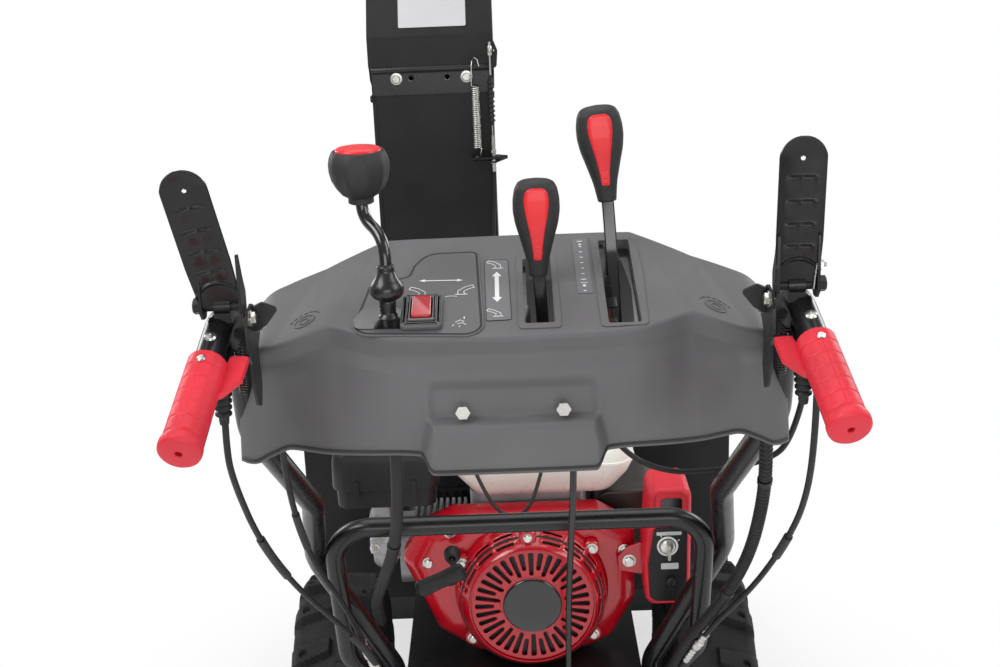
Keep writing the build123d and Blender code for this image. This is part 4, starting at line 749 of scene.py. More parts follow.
# the stepped gate plates inside the slots
notches = [(-16.5, -80)]
for start, end, reach in ((-80, -66, -7), (-62, -48, -12), (-44, -26, -5), (-22, -2, -9), (2, 14, -6),
                          (18, 84, -11)):
    notches += [(reach, start), (reach, end), (-14, end + 1), (-14, end + 3)]
notches += [(-16.5, 87)]
deck_plate("speed_gate", notches, (speed_x, speed_y), 1.6, GLOSS_BLACK, lift=-6, slot="black_powder_coat")
deck_plate("speed_gate_right", [(10, -84), (16.5, -84), (16.5, 84), (4, 84), (9, 40), (13, 0)],
           (speed_x, speed_y), 1.6, GLOSS_BLACK, lift=-12, slot="black_powder_coat")
deck_plate("deflector_gate", [(-15, -62), (-9, -62), (-9, -20), (-12, -16), (-12, 62), (-15, 62)],
           (deflector_x, deflector_y), 1.6, GLOSS_BLACK, lift=-9, slot="black_powder_coat")


# ------------------------------------------------------------------ printed marks, generic
def printed(name, strokes, middle, lift=0.8):
    """Flat printed shapes on the deck; each stroke is a closed outline in mm round the middle."""
    base = on_deck(*middle, lift)
    slab(name, [(outline,) for outline in strokes], lambda x, y: base + Vector(ACROSS) * x + DECK_RUN * y,
         DECK_UP, 0.25, WHITE_PRINT)


def stroke(points, width):
    """An open line of points given a width, as one closed outline."""
    left, right = [], []
    for k, point in enumerate(points):
        here = Vector(point)
        before = Vector(points[max(k - 1, 0)])
        after = Vector(points[min(k + 1, len(points) - 1)])
        run = (after - before).normalized()
        side = Vector((-run.y, run.x)) * width / 2
        left.append(tuple(here + side))
        right.append(tuple(here - side))
    return left + right[::-1]


def double_arrow(length, width, head, spread):
    """An arrow with a head at both ends."""
    half = length / 2
    return [(-half, 0), (-half + head, spread), (-half + head, width / 2), (half - head, width / 2),
            (half - head, spread), (half, 0), (half - head, -spread), (half - head, -width / 2),
            (-half + head, -width / 2), (-half + head, -spread)]


def turned_by(outline, turn, dx=0.0, dy=0.0):
    """The outline turned by degrees and moved."""
    c, s = cos(radians(turn)), sin(radians(turn))
    return [(x * c - y * s + dx, x * s + y * c + dy) for x, y in outline]


def chute_icon(dx, dy, lean, size=1.0, flip=1):
    """A small outline of a bent spout on a base, leaning to one side."""
    def drawn(points, width):
        return stroke([(flip * x * size + dx, y * size + dy) for x, y in points], width * size)

    mouth = ((-lean - 5, 13), (-lean - 3, 18))
    return [drawn(((0, 0), (1, 6), (-lean, 11), mouth[0]), 0.8),
            drawn(((7, 0), (7, 7), (5 - lean, 14), mouth[1]), 0.8), drawn(mouth, 0.8),
            drawn(((-3, 0), (10, 0)), 1.0)]


arrow = turned_by(double_arrow(46, 1.6, 6, 2.8), -2)
printed("turn_arrow", [arrow], (-71, -471), lift=1.7)
printed("turn_icons", chute_icon(-22, 0, 5) + chute_icon(26, 0, 5, flip=-1), (-72, -499), lift=1.7)
printed("turn_sweeps", [
    stroke([(-12 + 5 * k, 1.6 * sin(0.5 + k * 0.9)) for k in range(4)], 0.7),
    stroke([(6 + 4 * k, 1.6 * sin(0.2 + k * 0.9)) for k in range(4)], 0.7),
], (-72, -503), lift=1.7)
printed("tilt_arrow", [turned_by(double_arrow(60, 4.4, 9, 5.0), 90)], (-12.5, -485), lift=0.6)
printed("tilt_icon_high", chute_icon(-2, 0, 4, 0.9), (-12.5, -449), lift=0.6)
printed("tilt_icon_low", chute_icon(-2, 0, 6, 0.8), (-12.5, -540), lift=0.6)
marks = []
for step in range(10):
    y = -52 + step * 11.4
    wide = 5.5 if step in (2, 9) else 3.2

    marks.append(shifted(box_outline(wide, 1.3, 0.3, 2), 0, y))
marks.append(stroke([(-3.4, -36), (3.4, -36)], 0.8))
marks += [shifted(ellipse(3.4, 3.4, 12), 0, -42), shifted(ellipse(3, 3, 12), 0, 44)]
printed("speed_marks", marks, SPEED_LABEL_MIDDLE, lift=0.7)
lamp_icon = [stroke([(-5, 0), (0, 4), (4, 1)], 0.9), stroke([(-3, -3), (2, -1), (6, -5)], 0.9),
             stroke([(4, 6), (4, 10)], 1.2), stroke([(-6, -4), (-8, -7)], 0.8),
             stroke([(0, -6), (-1, -9)], 0.8)]
printed("lamp_icon", lamp_icon, (-50, -550), lift=1.7)


# ------------------------------------------------------------------ rings and bars moulded into both wings
def on_wing(x, y):
    """A point on the console's wing."""
    return Vector((x, y, deck_height(x, y)))


for side, name in ((-1, "left"), (1, "right")):
    base = on_wing(side * 212, -512)
    run = (on_wing(base.x, -502) - on_wing(base.x, -522)).normalized()
    sideways = (on_wing(base.x + 6, -512) - on_wing(base.x - 6, -512)).normalized()
    for ring, (radius, width) in enumerate(((12, 1.6), (6, 1.3))):
        plate(f"wing_ring_{name}_{ring}", ellipse(2 * radius, 2 * radius, 48), base, sideways, run, 0.9,
              CONSOLE_GREY, holes=[ellipse(2 * (radius - width), 2 * (radius - width), 48)], bevel=0.0003)
    for step in range(7):
        turn = radians(30 + step * 20)
        spot = base + sideways * 18 * cos(turn) + run * 18 * sin(turn)
        plate(f"wing_bar_{name}_{step}", turned_by(box_outline(1.4, 4.2, 0.4, 2), degrees(turn)), spot,
              sideways, run, 0.8, CONSOLE_GREY)


# ------------------------------------------------------------------ joystick
def lathe_z(name, profile, centre, material, body, steps=72, ribs=0, rib_depth=0.0, **finish):
    """A turned piece about a vertical line, with optional flutes between two heights."""
    rings = []
    for entry in profile:
        radius, height = entry[0], entry[1]
        fluted = entry[2] if len(entry) > 2 else 0.0
        ring = []
        for k in range(steps):
            turn = 2 * pi * k / steps
            wave = fluted * rib_depth * (0.5 - 0.5 * cos(ribs * turn)) if ribs else 0.0
            size = radius - wave
            ring.append(Vector((centre[0] + size * cos(turn), centre[1] + size * sin(turn), height)) * MM)
        rings.append(ring)
    return skinned(name, rings, material, body, **finish)


knob_low, knob_high = (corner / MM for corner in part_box("joystick_knob"))
knob_x, knob_y = (knob_low.x + knob_high.x) / 2, (knob_low.y + knob_high.y) / 2
base_z = knob_low.z
knob_profile = [(0.01, 0), (11.5, 0), (13, 1), (13, 6), (15, 7.5), (19.5, 10, 0.3), (24.5, 16, 0.9),
                (28.8, 24, 1), (30.8, 33, 1), (31, 41, 1), (29.8, 47, 0.8), (27.8, 51.5, 0.4), (26.4, 53.6),
                (25, 54.2), (24.2, 53), (0.01, 53)]
lathe_z("joystick_knob_shell", [(e[0], base_z + e[1], *e[2:]) for e in knob_profile], (knob_x, knob_y),
        SOFT_BLACK, "joystick", nodes=["joystick_knob"], steps=144, ribs=10, rib_depth=1.1, angle=50)
cap_rings = []
for share, lift in ((1.0, 52.8), (1.0, 54.4), (0.96, 55.8), (0.88, 56.8), (0.6, 58), (0.25, 58.6),
                    (0.02, 58.7)):
    cap_rings.append([Vector((knob_x + 23.4 * share * cos(2 * pi * k / 64),
                              knob_y + 22 * share * sin(2 * pi * k / 64), base_z + lift)) * MM
                      for k in range(64)])
skinned("joystick_cap", cap_rings, RED_KNOB, "joystick", angle=55)

ball_centre = on_deck(-123, -533, -4)
rod_line = [ball_centre + Vector((0, 0, 26)), ball_centre + Vector((0, 2, 48)),
            ball_centre + Vector((0, 4, 66)), Vector((-125, -523, 1036)), Vector((-131, -514, 1046)),
            Vector((-141, -506, 1054)), Vector((-146, -501, 1066)), Vector((knob_x, knob_y, base_z + 6))]
pipe("joystick_stem", [tuple(p) for p in rod_line], 6.2, GLOSS_BLACK, "joystick", slot="frame_black",
     nodes=["joystick_rod"])
boot_profile = [(6.6, 51), (8.6, 50.5), (9.0, 48.5), (8.4, 46.5), (9.2, 44), (11.2, 39), (14.2, 34.5),
                (16.8, 31), (17.6, 26.5), (17.2, 22), (14.6, 18), (10.4, 15.4), (8.0, 14), (8.8, 12),
                (7.8, 10), (8.6, 8), (7.6, 6), (8.4, 4), (7.4, 2), (8.6, 0), (11.5, -2.5), (12, -6)]
boot_profile = [(r, ball_centre.z + h + 7) for r, h in boot_profile]
lathe_z("joystick_boot", [(0.01, boot_profile[0][1])] + boot_profile + [(0.01, boot_profile[-1][1])],
        (ball_centre.x, ball_centre.y), BOOT_BLACK, "joystick", angle=70)
# a gloss black patch round the boot's foot: painted shadow cast by the boot
boot_shadow_outline = rounded([(-30, -24), (26, -26), (26, -14), (20, -2), (16, 10), (2, 18), (-14, 20), (-24, 14),
                    (-32, -6)], [8, 6, 6, 8, 8, 8, 8, 8, 8])
deck_plate("joystick_boot_shadow", boot_shadow_outline, (-126, -533), 0.9, GLOSS_BLACK, lift=1.4, bevel=0.0003)


# ------------------------------------------------------------------ rocker switch
ROCKER = (-89, -533)
deck_plate("rocker_pedestal", box_outline(42, 60, 6), ROCKER, 8.2, CONSOLE_GREY, lift=-0.4,
           holes=[box_outline(23, 41, 2)], bevel=0.003, segments=4)
deck_plate("rocker_bezel", box_outline(29, 47, 3), ROCKER, 2.6, GLOSS_BLACK, lift=7.2,
           holes=[box_outline(21.4, 38, 1.6)], bevel=0.0009, segments=3)
rocker_rings = []
for grow, lift in ((0, 2.5), (0, 9.6), (-0.7, 10.8), (-1.8, 11.4)):
    ring = []
    for x, y in box_outline(19.6 + grow, 35.6 + grow, 1.6, 3):
        dished = 1.6 * (y / 18) ** 2 if lift > 5 else 0
        tipped = 0.05 * y if lift > 5 else 0
        ring.append((on_deck(*ROCKER, lift + dished + tipped) + Vector(ACROSS) * x + DECK_RUN * y) * MM)
    rocker_rings.append(ring)
skinned("rocker_paddle", rocker_rings, RED_GLOSS_SHADED, "rocker", slot="red_plastic", nodes=["rocker_switch"],
        angle=40)
for name, outline, dy, holes in (("on", box_outline(1.4, 7, 0.4, 2), 9, ()),
                                 ("off", ellipse(6, 6, 20), -9, [ellipse(4, 4, 20)])):
    deck_plate(f"rocker_mark_{name}", outline, (ROCKER[0], ROCKER[1] + dy), 0.5, WHITE_PRINT, holes=holes,
               lift=11.2 + 0.05 * dy + 1.6 * (dy / 18) ** 2 - 0.2, slot="red_plastic", body="rocker")


# ------------------------------------------------------------------ lever knobs
KNOB_SHAPE = [(0, 0.40), (0.06, 0.43), (0.2, 0.52), (0.38, 0.72), (0.55, 0.92), (0.68, 1.0), (0.8, 0.985),
              (0.9, 0.90), (0.96, 0.76), (0.99, 0.5), (1.0, 0.04)]
TONGUE_SHAPE = [(0.0, 0.04), (0.012, 0.26), (0.04, 0.34), (0.2, 0.42), (0.4, 0.60), (0.6, 0.84),
                (0.75, 0.98), (0.84, 1.0), (0.92, 0.92), (0.965, 0.74), (0.99, 0.42), (1.0, 0.04)]


def span(shape, share):
    """The width, as a share, of a shape at a share of its height."""
    return float(np.interp(share, [s[0] for s in shape], [s[1] for s in shape]))


def lever_knob(tag, node, body, foot, tip, width, depth):
    """A soft black knob with a glossy red tongue let into its rear face."""
    foot, tip = Vector(foot), Vector(tip)
    height = (tip - foot).length
    rise = (tip - foot).normalized()
    across = (Vector(ACROSS) - rise * rise.x).normalized()
    back = across.cross(rise)
    rear = back if back.y < 0 else -back

    def half_depth(share):
        taper = 1 if share < 0.9 else sqrt(max(0.02, 1 - ((share - 0.9) / 0.1) ** 2))
        return depth / 2 * (0.55 + 0.45 * span(KNOB_SHAPE, share)) * taper

    rings = []
    for share in np.concatenate([[0], np.linspace(0.02, 0.88, 22),
                                 0.88 + 0.12 * np.sin(np.linspace(0.15, pi / 2, 10))]):
        half_w = width / 2 * span(KNOB_SHAPE, share)
        half_d = half_depth(share)
        middle = foot + rise * (float(share) * height)
        ring = []
        for s in range(48):
            turn = 2 * pi * s / 48
            cx, cy = cos(turn), sin(turn)
            aside = float(np.sign(cx) * abs(cx) ** 0.78)
            behind = float(np.sign(cy) * abs(cy) ** 0.78)
            ring.append((middle + across * half_w * aside + back * half_d * behind) * MM)
        rings.append(ring)
    skinned(f"{tag}_knob", rings, SOFT_BLACK, body, nodes=[node], levels=1)
    # the red tongue, proud of the knob's rear face, ribbed at its narrow end
    tongue_w, foot_share, tip_share = width * 0.56, 0.17, 0.93
    columns = 16
    rows = []
    for t in np.linspace(0, 1, 72):
        share = foot_share + (tip_share - foot_share) * float(t)
        half_w = tongue_w / 2 * span(TONGUE_SHAPE, float(t))
        knob_w = width / 2 * span(KNOB_SHAPE, share)
        row = []
        for k in range(columns + 1):
            u = 2 * k / columns - 1
            x = half_w * u
            edge = min(1 - abs(u), 1.0)
            bulge = max(0.0, 1 - (abs(x) / knob_w) ** 2.56) ** 0.39
            proud = 1.5 * float(smoothstep(edge / 0.16)) * float(smoothstep(min(t, 1 - t) / 0.03))
            ribs = 0.35 * sin(t * 260) if t < 0.22 else 0.0
            reach = half_depth(share) * bulge - 0.8 + proud + ribs * float(smoothstep(edge / 0.3))
            row.append((foot + rise * (share * height) + across * x + rear * reach) * MM)
        rows.append(row)
    points = [p for row in rows for p in row]
    wide = columns + 1
    faces = [(r * wide + k, r * wide + k + 1, (r + 1) * wide + k + 1, (r + 1) * wide + k)
             for r in range(len(rows) - 1) for k in range(columns)]
    mesh = mesh_from(f"{tag}_tongue", points, faces)
    finish_mesh(f"{tag}_tongue", mesh, RED_KNOB, body, angle=60, thickness=0.002)


def lever_blade(tag, body, points, width, thickness):
    """A flat steel lever bent along points, seen edge-on from the rear."""
    rings = []
    for k, point in enumerate(points):
        here = Vector(point)
        run = (Vector(points[min(k + 1, len(points) - 1)]) - Vector(points[max(k - 1, 0)])).normalized()
        side = (Vector(ACROSS) - run * run.x).normalized()
        deep = side.cross(run)
        ring = []
        for x, y in box_outline(thickness, width, 1.4, 3):
            ring.append((here + side * x + deep * y) * MM)
        rings.append(ring)
    skinned(f"{tag}_blade", rings, GLOSS_BLACK, body, slot="black_powder_coat", angle=35)


lever_knob("deflector_lever", "deflector_lever", "deflector_control", (31, -480, 984), (31, -480, 1087), 49,
           30)
lever_knob("speed_lever", "speed_lever", "speed_control", (108.5, -418, 1046), (99, -416, 1149), 50, 30)
deflector_line = [(35, -490, 862), (34.5, -487, 900), (33.6, -483, 945), (32, -480, 975), (31, -480, 1000)]
speed_line = [(113, -491, 862), (112.8, -470, 900), (112.4, -440, 955), (112, -424, 985),
              (110.5, -419, 1020), (108, -418, 1060)]
lever_blade("deflector_lever", "deflector_control", deflector_line, 8, 13)
lever_blade("speed_lever", "speed_control", speed_line, 8, 13)
for tag, body, x in (("deflector_lever", "deflector_control", 35), ("speed_lever", "speed_control", 113)):
    turned(f"{tag}_hub", [(0.01, -8), (13, -8), (13.6, -7), (13.6, 7), (13, 8), (0.01, 8)], (x, -490, 868),
           ACROSS, STEEL, body, steps=48)


# ------------------------------------------------------------------ chute and deflector
CHUTE_X = -108
CHUTE_BACK = 277
HINGE_Z = 1106
RIVET_Z = 1092
back_face = CHUTE_BACK - 1.6

# pressed edges down both sides of the chute, and the folded tabs beside the hinge
for side, name in ((-1, "left"), (1, "right")):
    edge_x = CHUTE_X + side * 92
    strip = [(-2, 0), (2, 0), (2, 520), (-2, 520)]
    plate(f"chute_flange_{name}", rounded(strip, 1, 3), (edge_x - side * 3.5, CHUTE_BACK + 0.2, 545),
          ACROSS, RISE, 1.8, POWDER, "chute_lower", bevel=0.0005)
    tab = rounded([(0, 0), (5, 3), (5, 11), (0, 15)], 2, 3)
    tab_foot = (CHUTE_X + side * 90, back_face - 0.2, 1056)
    plate(f"hinge_tab_{name}", [(side * x, z) for x, z in tab], tab_foot, ACROSS, RISE, 2.4, POWDER,
          "chute_lower", bevel=0.0004)

# the hinge's rubber-edged strip with its rolled top
strip_outline = [(-90, 0), (90, 0), (90, 33), (-90, 33)]
plate("hinge_strip", rounded(strip_outline, 2, 3), (CHUTE_X, back_face, 1067), ACROSS, RISE, 1.0,
      STRIP_BLACK, "chute_lower", bevel=0.0003)
turned("hinge_barrel", [(0.01, -91), (4, -91), (4.4, -90), (4.4, 90), (4, 91), (0.01, 91)],
       (CHUTE_X, 273.5, HINGE_Z), ACROSS, STRIP_BLACK, "chute_lower", steps=32)
for number, x in enumerate((-31, 24)):
    turned(f"strip_hole_{number}", [(0.01, 0), (3.1, 0), (3.4, 0.8), (4.6, 0.9), (5, 0)],
           (CHUTE_X + x, back_face - 1, RIVET_Z), REAR, GLOSS_BLACK, "chute_lower",
           slot="black_powder_coat", steps=28)
for side in (-1, 1):
    place = (CHUTE_X + side * 53.5, back_face - 1.0, RIVET_Z)
    hex_bolt(f"chute_bolt_{'left' if side < 0 else 'right'}", place, REAR, 11.5, 6.5, "chute_lower")
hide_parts("chute_hinge_bolts")

# extension spring between the deflector and the cable bracket
SPRING_X, SPRING_Y = CHUTE_X + 66, CHUTE_BACK - 13.5
spring_points = []
turns = 32
low_z, high_z = 983, 1076
for k in range(turns * 12 + 1):
    turn = 2 * pi * k / 12
    share = k / (turns * 12)
    spring_points.append((SPRING_X + 5.6 * cos(turn), SPRING_Y + 5.6 * sin(turn),
                          low_z + (high_z - low_z) * share))
hook_top = [(SPRING_X - 5.6, SPRING_Y, high_z + 3), (SPRING_X - 5, SPRING_Y, high_z + 20),
            (SPRING_X - 4, SPRING_Y, high_z + 40), (SPRING_X, SPRING_Y, high_z + 46),
            (SPRING_X + 5, SPRING_Y, high_z + 42), (SPRING_X + 7, SPRING_Y, high_z + 32)]
hook_foot = [(SPRING_X - 2, SPRING_Y, low_z - 12), (SPRING_X + 3, SPRING_Y, low_z - 14),
             (SPRING_X + 5, SPRING_Y, low_z - 8), (SPRING_X + 5.6, SPRING_Y, low_z - 2)]
mesh_pipe("deflector_coil", hook_foot + spring_points + hook_top, 1.15, STEEL, "chute_lower",
          nodes=["deflector_spring"], steps=6)

# the deflector's control cable: clevis, rod, bellows, adjuster and sheath
CABLE_X, CABLE_Y = -18, 264
BRACKET_Z = 968
turned("cable_clevis", [(0.01, 0), (3.4, 0), (3.8, 1), (3.8, 12), (3, 14), (2.2, 15), (2.2, 20),
                        (0.01, 20)], (CABLE_X, CABLE_Y, 1124), RISE, STEEL, "chute_lower", steps=24)
bellows = [(0.01, 0), (2.6, 0), (2.8, 3)]
for fold in range(9):
    z = 4 + fold * 7.2
    bellows += [(2.8, z), (5.2, z + 2.4), (5.4, z + 3.4), (3.0, z + 6.2)]
bellows += [(2.8, 70), (2.6, 76), (0.01, 76)]
turned("cable_bellows", bellows, (CABLE_X, CABLE_Y, 1018), RISE, RUBBER, "chute_lower", steps=28, angle=60)
turned("cable_adjuster", [(0.01, -26), (2.6, -26), (2.8, -10), (4.6, -9), (4.6, -4), (2.8, -3), (2.8, 6),
                          (4.4, 7), (4.4, 12), (2.6, 13), (2.4, 34), (0.01, 34)],
       (CABLE_X, CABLE_Y, BRACKET_Z), RISE, STEEL, "chute_lower", steps=24)
mesh_pipe("cable_inner", [(CABLE_X, CABLE_Y, z) for z in (990, 1004, 1024)], 1.0, STEEL, "chute_lower")
mesh_pipe("cable_rod", [(CABLE_X, CABLE_Y, z) for z in (1090, 1108, 1128)], 1.6, STEEL, "chute_lower")
pipe("deflector_cable_sheath", [(-18, 264, 946), (-19, 264, 900), (-23, 265, 860), (-25, 267, 770),
                                (-36, 268, 680), (-68, 265, 600)], 3.5, RUBBER, "chute_lower",
     nodes=["deflector_cable"])
bracket = rounded([(-24, -4), (4, -6), (30, -2), (30, 4), (10, 18), (-4, 12), (-24, 12)], 3, 4)
plate("cable_bracket", bracket, (CABLE_X - 8, CABLE_Y + 10, BRACKET_Z), ACROSS, (0, -0.94, -0.34), 2.2,
      POWDER, "chute_lower", bevel=0.0005)

# deflector: a blank white label, and a lug beside the hinge
LABEL_FOOT = 1167.5
plate("deflector_label_blank", rounded([(-51, 0), (51, 0), (51, 66), (-51, 66)], 2, 3),
      (CHUTE_X + 4.5, 279, LABEL_FOOT), ACROSS, (0, 52, 80), 0.4, LABEL_WHITE, "chute_deflector",
      slot="black_powder_coat")
lug = rounded([(0, 0), (12, 6), (14, 30), (8, 46), (0, 46)], 4, 4)
plate("deflector_lug", lug, (CHUTE_X + 88, 270.6, 1100), ACROSS, RISE, 2.5, POWDER, "chute_deflector",
      holes=[shifted(ellipse(4, 4, 14), 7, 30)], bevel=0.0005)


# ------------------------------------------------------------------ grips, paddles and triggers
GRIP_END = Vector((297, -748, 906))
BAR_RUN = Vector((277, -556, 996)) - GRIP_END
BAR_UNIT = BAR_RUN.normalized()
bar_rise = atan2(BAR_RUN.z, BAR_RUN.y)
BAR_UP = Vector((0, -sin(bar_rise), cos(bar_rise)))
PADDLE_LEAN = {"left": 9, "right": 1}
PADDLE_BACK = {"left": 12, "right": 2}
# places beside the handlebar's end run: along it, above it and outward
PADDLE_PIVOT = (172, 23, -6)
TRIGGER_PIVOT = (156, -26)
BLADE_FOOT, BLADE_LENGTH = 4, 141
SIDES = ((-1, "left"), (1, "right"))


def on_bar(side, along, lift=0.0, across=0.0):
    """A point beside the handlebar's end run, in millimetres."""
    spot = GRIP_END + BAR_UNIT * along + BAR_UP * lift
    return Vector((side * (spot.x + across), spot.y, spot.z))


def grip_radius_at(reach, turn):
    """The grip's radius at a distance up the bar; turn is 0 at its top."""
    if reach < 16:
        return 20.6 - 1.7 * smoothstep((reach - 9) / 7)
    share = (reach - 16) / 84 * 5 % 1
    band = 18.2 + 0.7 * min(1.0, abs(sin(pi * share)) * 5)
    if abs(sin(turn)) < 0.04:
        band -= 0.5
    return band + 0.8 * max(0.0, -cos(turn)) * abs(sin(pi * share))


def build_grip(side, word):
    """The ribbed grip with its end cap, thumb guard and screws."""
    start = [(3.2, 9), (3.2, 0.8), (4.0, 0), (14, 0.2), (18, 0.9), (20, 2.8), (20.6, 5.5)]
    stations = [(radius, reach, False) for radius, reach in start]
    stations += [(0, 7 + k, True) for k in range(109)]
    rings = []
    across = BAR_UP.cross(BAR_UNIT).normalized()
    for radius, reach, shaped in stations:
        ring = []
        for k in range(80):
            turn = 2 * pi * k / 80
            size = grip_radius_at(reach, turn) if shaped else radius
            spot = GRIP_END + BAR_UNIT * reach + (BAR_UP * cos(turn) + across * sin(turn)) * size
            ring.append(Vector((side * spot.x, spot.y, spot.z)) * MM)
        rings.append(ring)
    skinned(f"grip_shell_{word}", rings, RED_GRIP, nodes=[f"grip_{word}"], angle=32)
    guard = rounded([(14, 74), (22, 80), (35, 98), (36, 127), (19, 128), (16, 112)], 2.5, 4)
    inward = Vector((-side, 0, 0))
    bar_run = Vector((side * BAR_UNIT.x, BAR_UNIT.y, BAR_UNIT.z))
    plate(f"thumb_guard_{word}", guard, on_bar(side, 0, -3), inward, bar_run, 7 * side, RED_GRIP,
          bevel=0.0015)
    screw = on_bar(side, 104, 18.6)
    turned(f"grip_screw_{word}", [(0.01, -2), (4.2, -2), (4.2, 0.6), (3.2, 1.4), (1.2, 1.5), (0.8, 0.8),
                                  (0.01, 0.8)], screw, BAR_UP, STEEL, steps=24)
    turned(f"bar_screw_{word}", [(0.01, -2), (6, -2), (6, 0.8), (4.6, 2.4), (1.6, 2.8), (1, 1.8),
                                 (0.01, 1.8)], on_bar(side, 138, 13.6), BAR_UP, STEEL, steps=28)


def paddle_axes(side, word):
    """The blade's axes: across it, up it and out of its pressed face."""
    lean = radians(PADDLE_LEAN[word])
    back = radians(PADDLE_BACK[word])
    up = Vector((side * sin(lean), -sin(back), cos(back))).normalized()
    across = Vector((cos(lean), 0, -side * sin(lean)))
    return across, up, across.cross(up).normalized()


def paddle_relief(share, reach):
    """How far the pressed blade stands towards the operator."""
    rim = 3.2 * abs(share) ** 2.4
    if reach > 121:
        rim = max(rim, 3.2 * (min(21.5, sqrt((reach - 121) ** 2 + (share * 20) ** 2)) / 21.5) ** 2.4)
    ridge = 0.0
    for middle in (40, 61.5, 83.5, 107):
        drop = middle - reach
        if -1.5 < drop < 17:
            tall = smoothstep((drop + 1.5) / 3) * (1 - smoothstep((drop - 2) / 15))
            dip = (0.55 + 0.45 * smoothstep(abs(share) / 0.2)) * (1 - smoothstep((abs(share) - 0.4) / 0.35))
            ridge = max(ridge, 1.9 * tall * dip)
    arch = 2.2 * (1 - min(1, abs(reach - 17 - 10 * (1 - share * share)) / 2.2) ** 2)
    return rim + ridge + arch


def build_paddle(side, word):
    """The pressed blade with its cheeks, bolt and sleeve, and the right one's wire clip."""
    across, up, facing = paddle_axes(side, word)
    pivot = on_bar(side, *PADDLE_PIVOT)
    body = f"paddle_{word}"
    rows, columns = 150, 57
    faces, points = [], []
    for row in range(rows):
        reach = BLADE_FOOT + BLADE_LENGTH * row / (rows - 1)
        half = 20.4 + 1.4 * smoothstep((reach - 12) / 40)
        if reach > 124:
            half = 0.4 + 21.4 * sqrt(max(0.0, 1 - ((reach - 124) / 21.2) ** 2))
        for column in range(columns):
            share = 2 * column / (columns - 1) - 1
            spot = pivot + across * share * half + up * reach + facing * (4.2 + paddle_relief(share, reach))
            points.append(spot * MM)
    for row in range(rows - 1):
        for column in range(columns - 1):
            here = row * columns + column
            reach = BLADE_FOOT + BLADE_LENGTH * row / (rows - 1)
            share = 2 * (column + 0.5) / (columns - 1) - 1
            if (reach - 123) ** 2 + (share * 21) ** 2 < 5.5:
                continue
            faces.append((here, here + 1, here + columns + 1, here + columns))
    finish_mesh(f"paddle_blade_{word}", mesh_from(f"paddle_blade_{word}", points, faces), GLOSS_SATIN, body,
                nodes=[f"paddle_{word}"], thickness=2.2 * MM, bevel=0.0004, angle=40)
    cheek = rounded([(-11, 52), (-13, 20), (-13, -4), (-7, -12), (6, -13), (13, -5), (14, 10), (4, 28),
                     (-6, 52)], 5, 5)
    for way in (-1, 1):
        face = pivot + Vector((way * 17.8 if way > 0 else -20.4, 0, 0))
        plate(f"paddle_cheek_{word}_{'out' if way == side else 'in'}", cheek, face, AHEAD, RISE, 2.6,
              GLOSS_SATIN, body, bevel=0.0004)
    hex_bolt(f"paddle_bolt_{word}", pivot + Vector((side * 20.4, 0, 0)), (side, 0, 0), 14, 8, body,
             material=PLASTIC)
    turned(f"paddle_sleeve_{word}", [(0.01, -18), (5.4, -18), (5.4, 18), (0.01, 18)], pivot, ACROSS,
           PLASTIC, body, steps=32)
    if side > 0:
        bends = ((15, -2), (16, 10), (17, 22), (18, 25), (22, 26), (25, 24), (25, 20))
        clip = [pivot + across * x + up * z + facing * 9 for x, z in bends]
        mesh_pipe("paddle_clip", [tuple(c) for c in clip], 1.1, STEEL, body)


def build_trigger(side, word):
    """The finger trigger under the bar, with its hub and bolt."""
    rings = []
    for k in range(30):
        share = k / 29
        reach = 150 - 122 * share
        lift = -26 - 9.5 * share - 3.0 * sin(pi * share) - 2 * smoothstep((share - 0.9) / 0.1)
        wide = 6.6 + 0.9 * share
        tall = 4.4 - 1.0 * share
        if k in (0, 29):
            wide, tall = wide * 0.6, tall * 0.6
        middle = on_bar(side, reach, lift)
        rings.append([(middle + Vector((wide * cos(a), 0, 0)) + BAR_UP * tall * sin(a)) * MM
                      for a in (2 * pi * s / 28 for s in range(28))])
    skinned(f"trigger_blade_{word}", rings, PLASTIC, f"trigger_{word}", nodes=[f"trigger_{word}"], angle=50)
    turned(f"trigger_hub_{word}", [(0.01, -7), (7, -7), (8, -6), (8, 6), (7, 7), (0.01, 7)],
           on_bar(side, *TRIGGER_PIVOT), ACROSS, PLASTIC, f"trigger_{word}", steps=32)
    hex_bolt(f"trigger_bolt_{word}", on_bar(side, *TRIGGER_PIVOT) + Vector((side * 11, 0, 0)), (side, 0, 0),
             10, 5, "frame", material=PLASTIC)


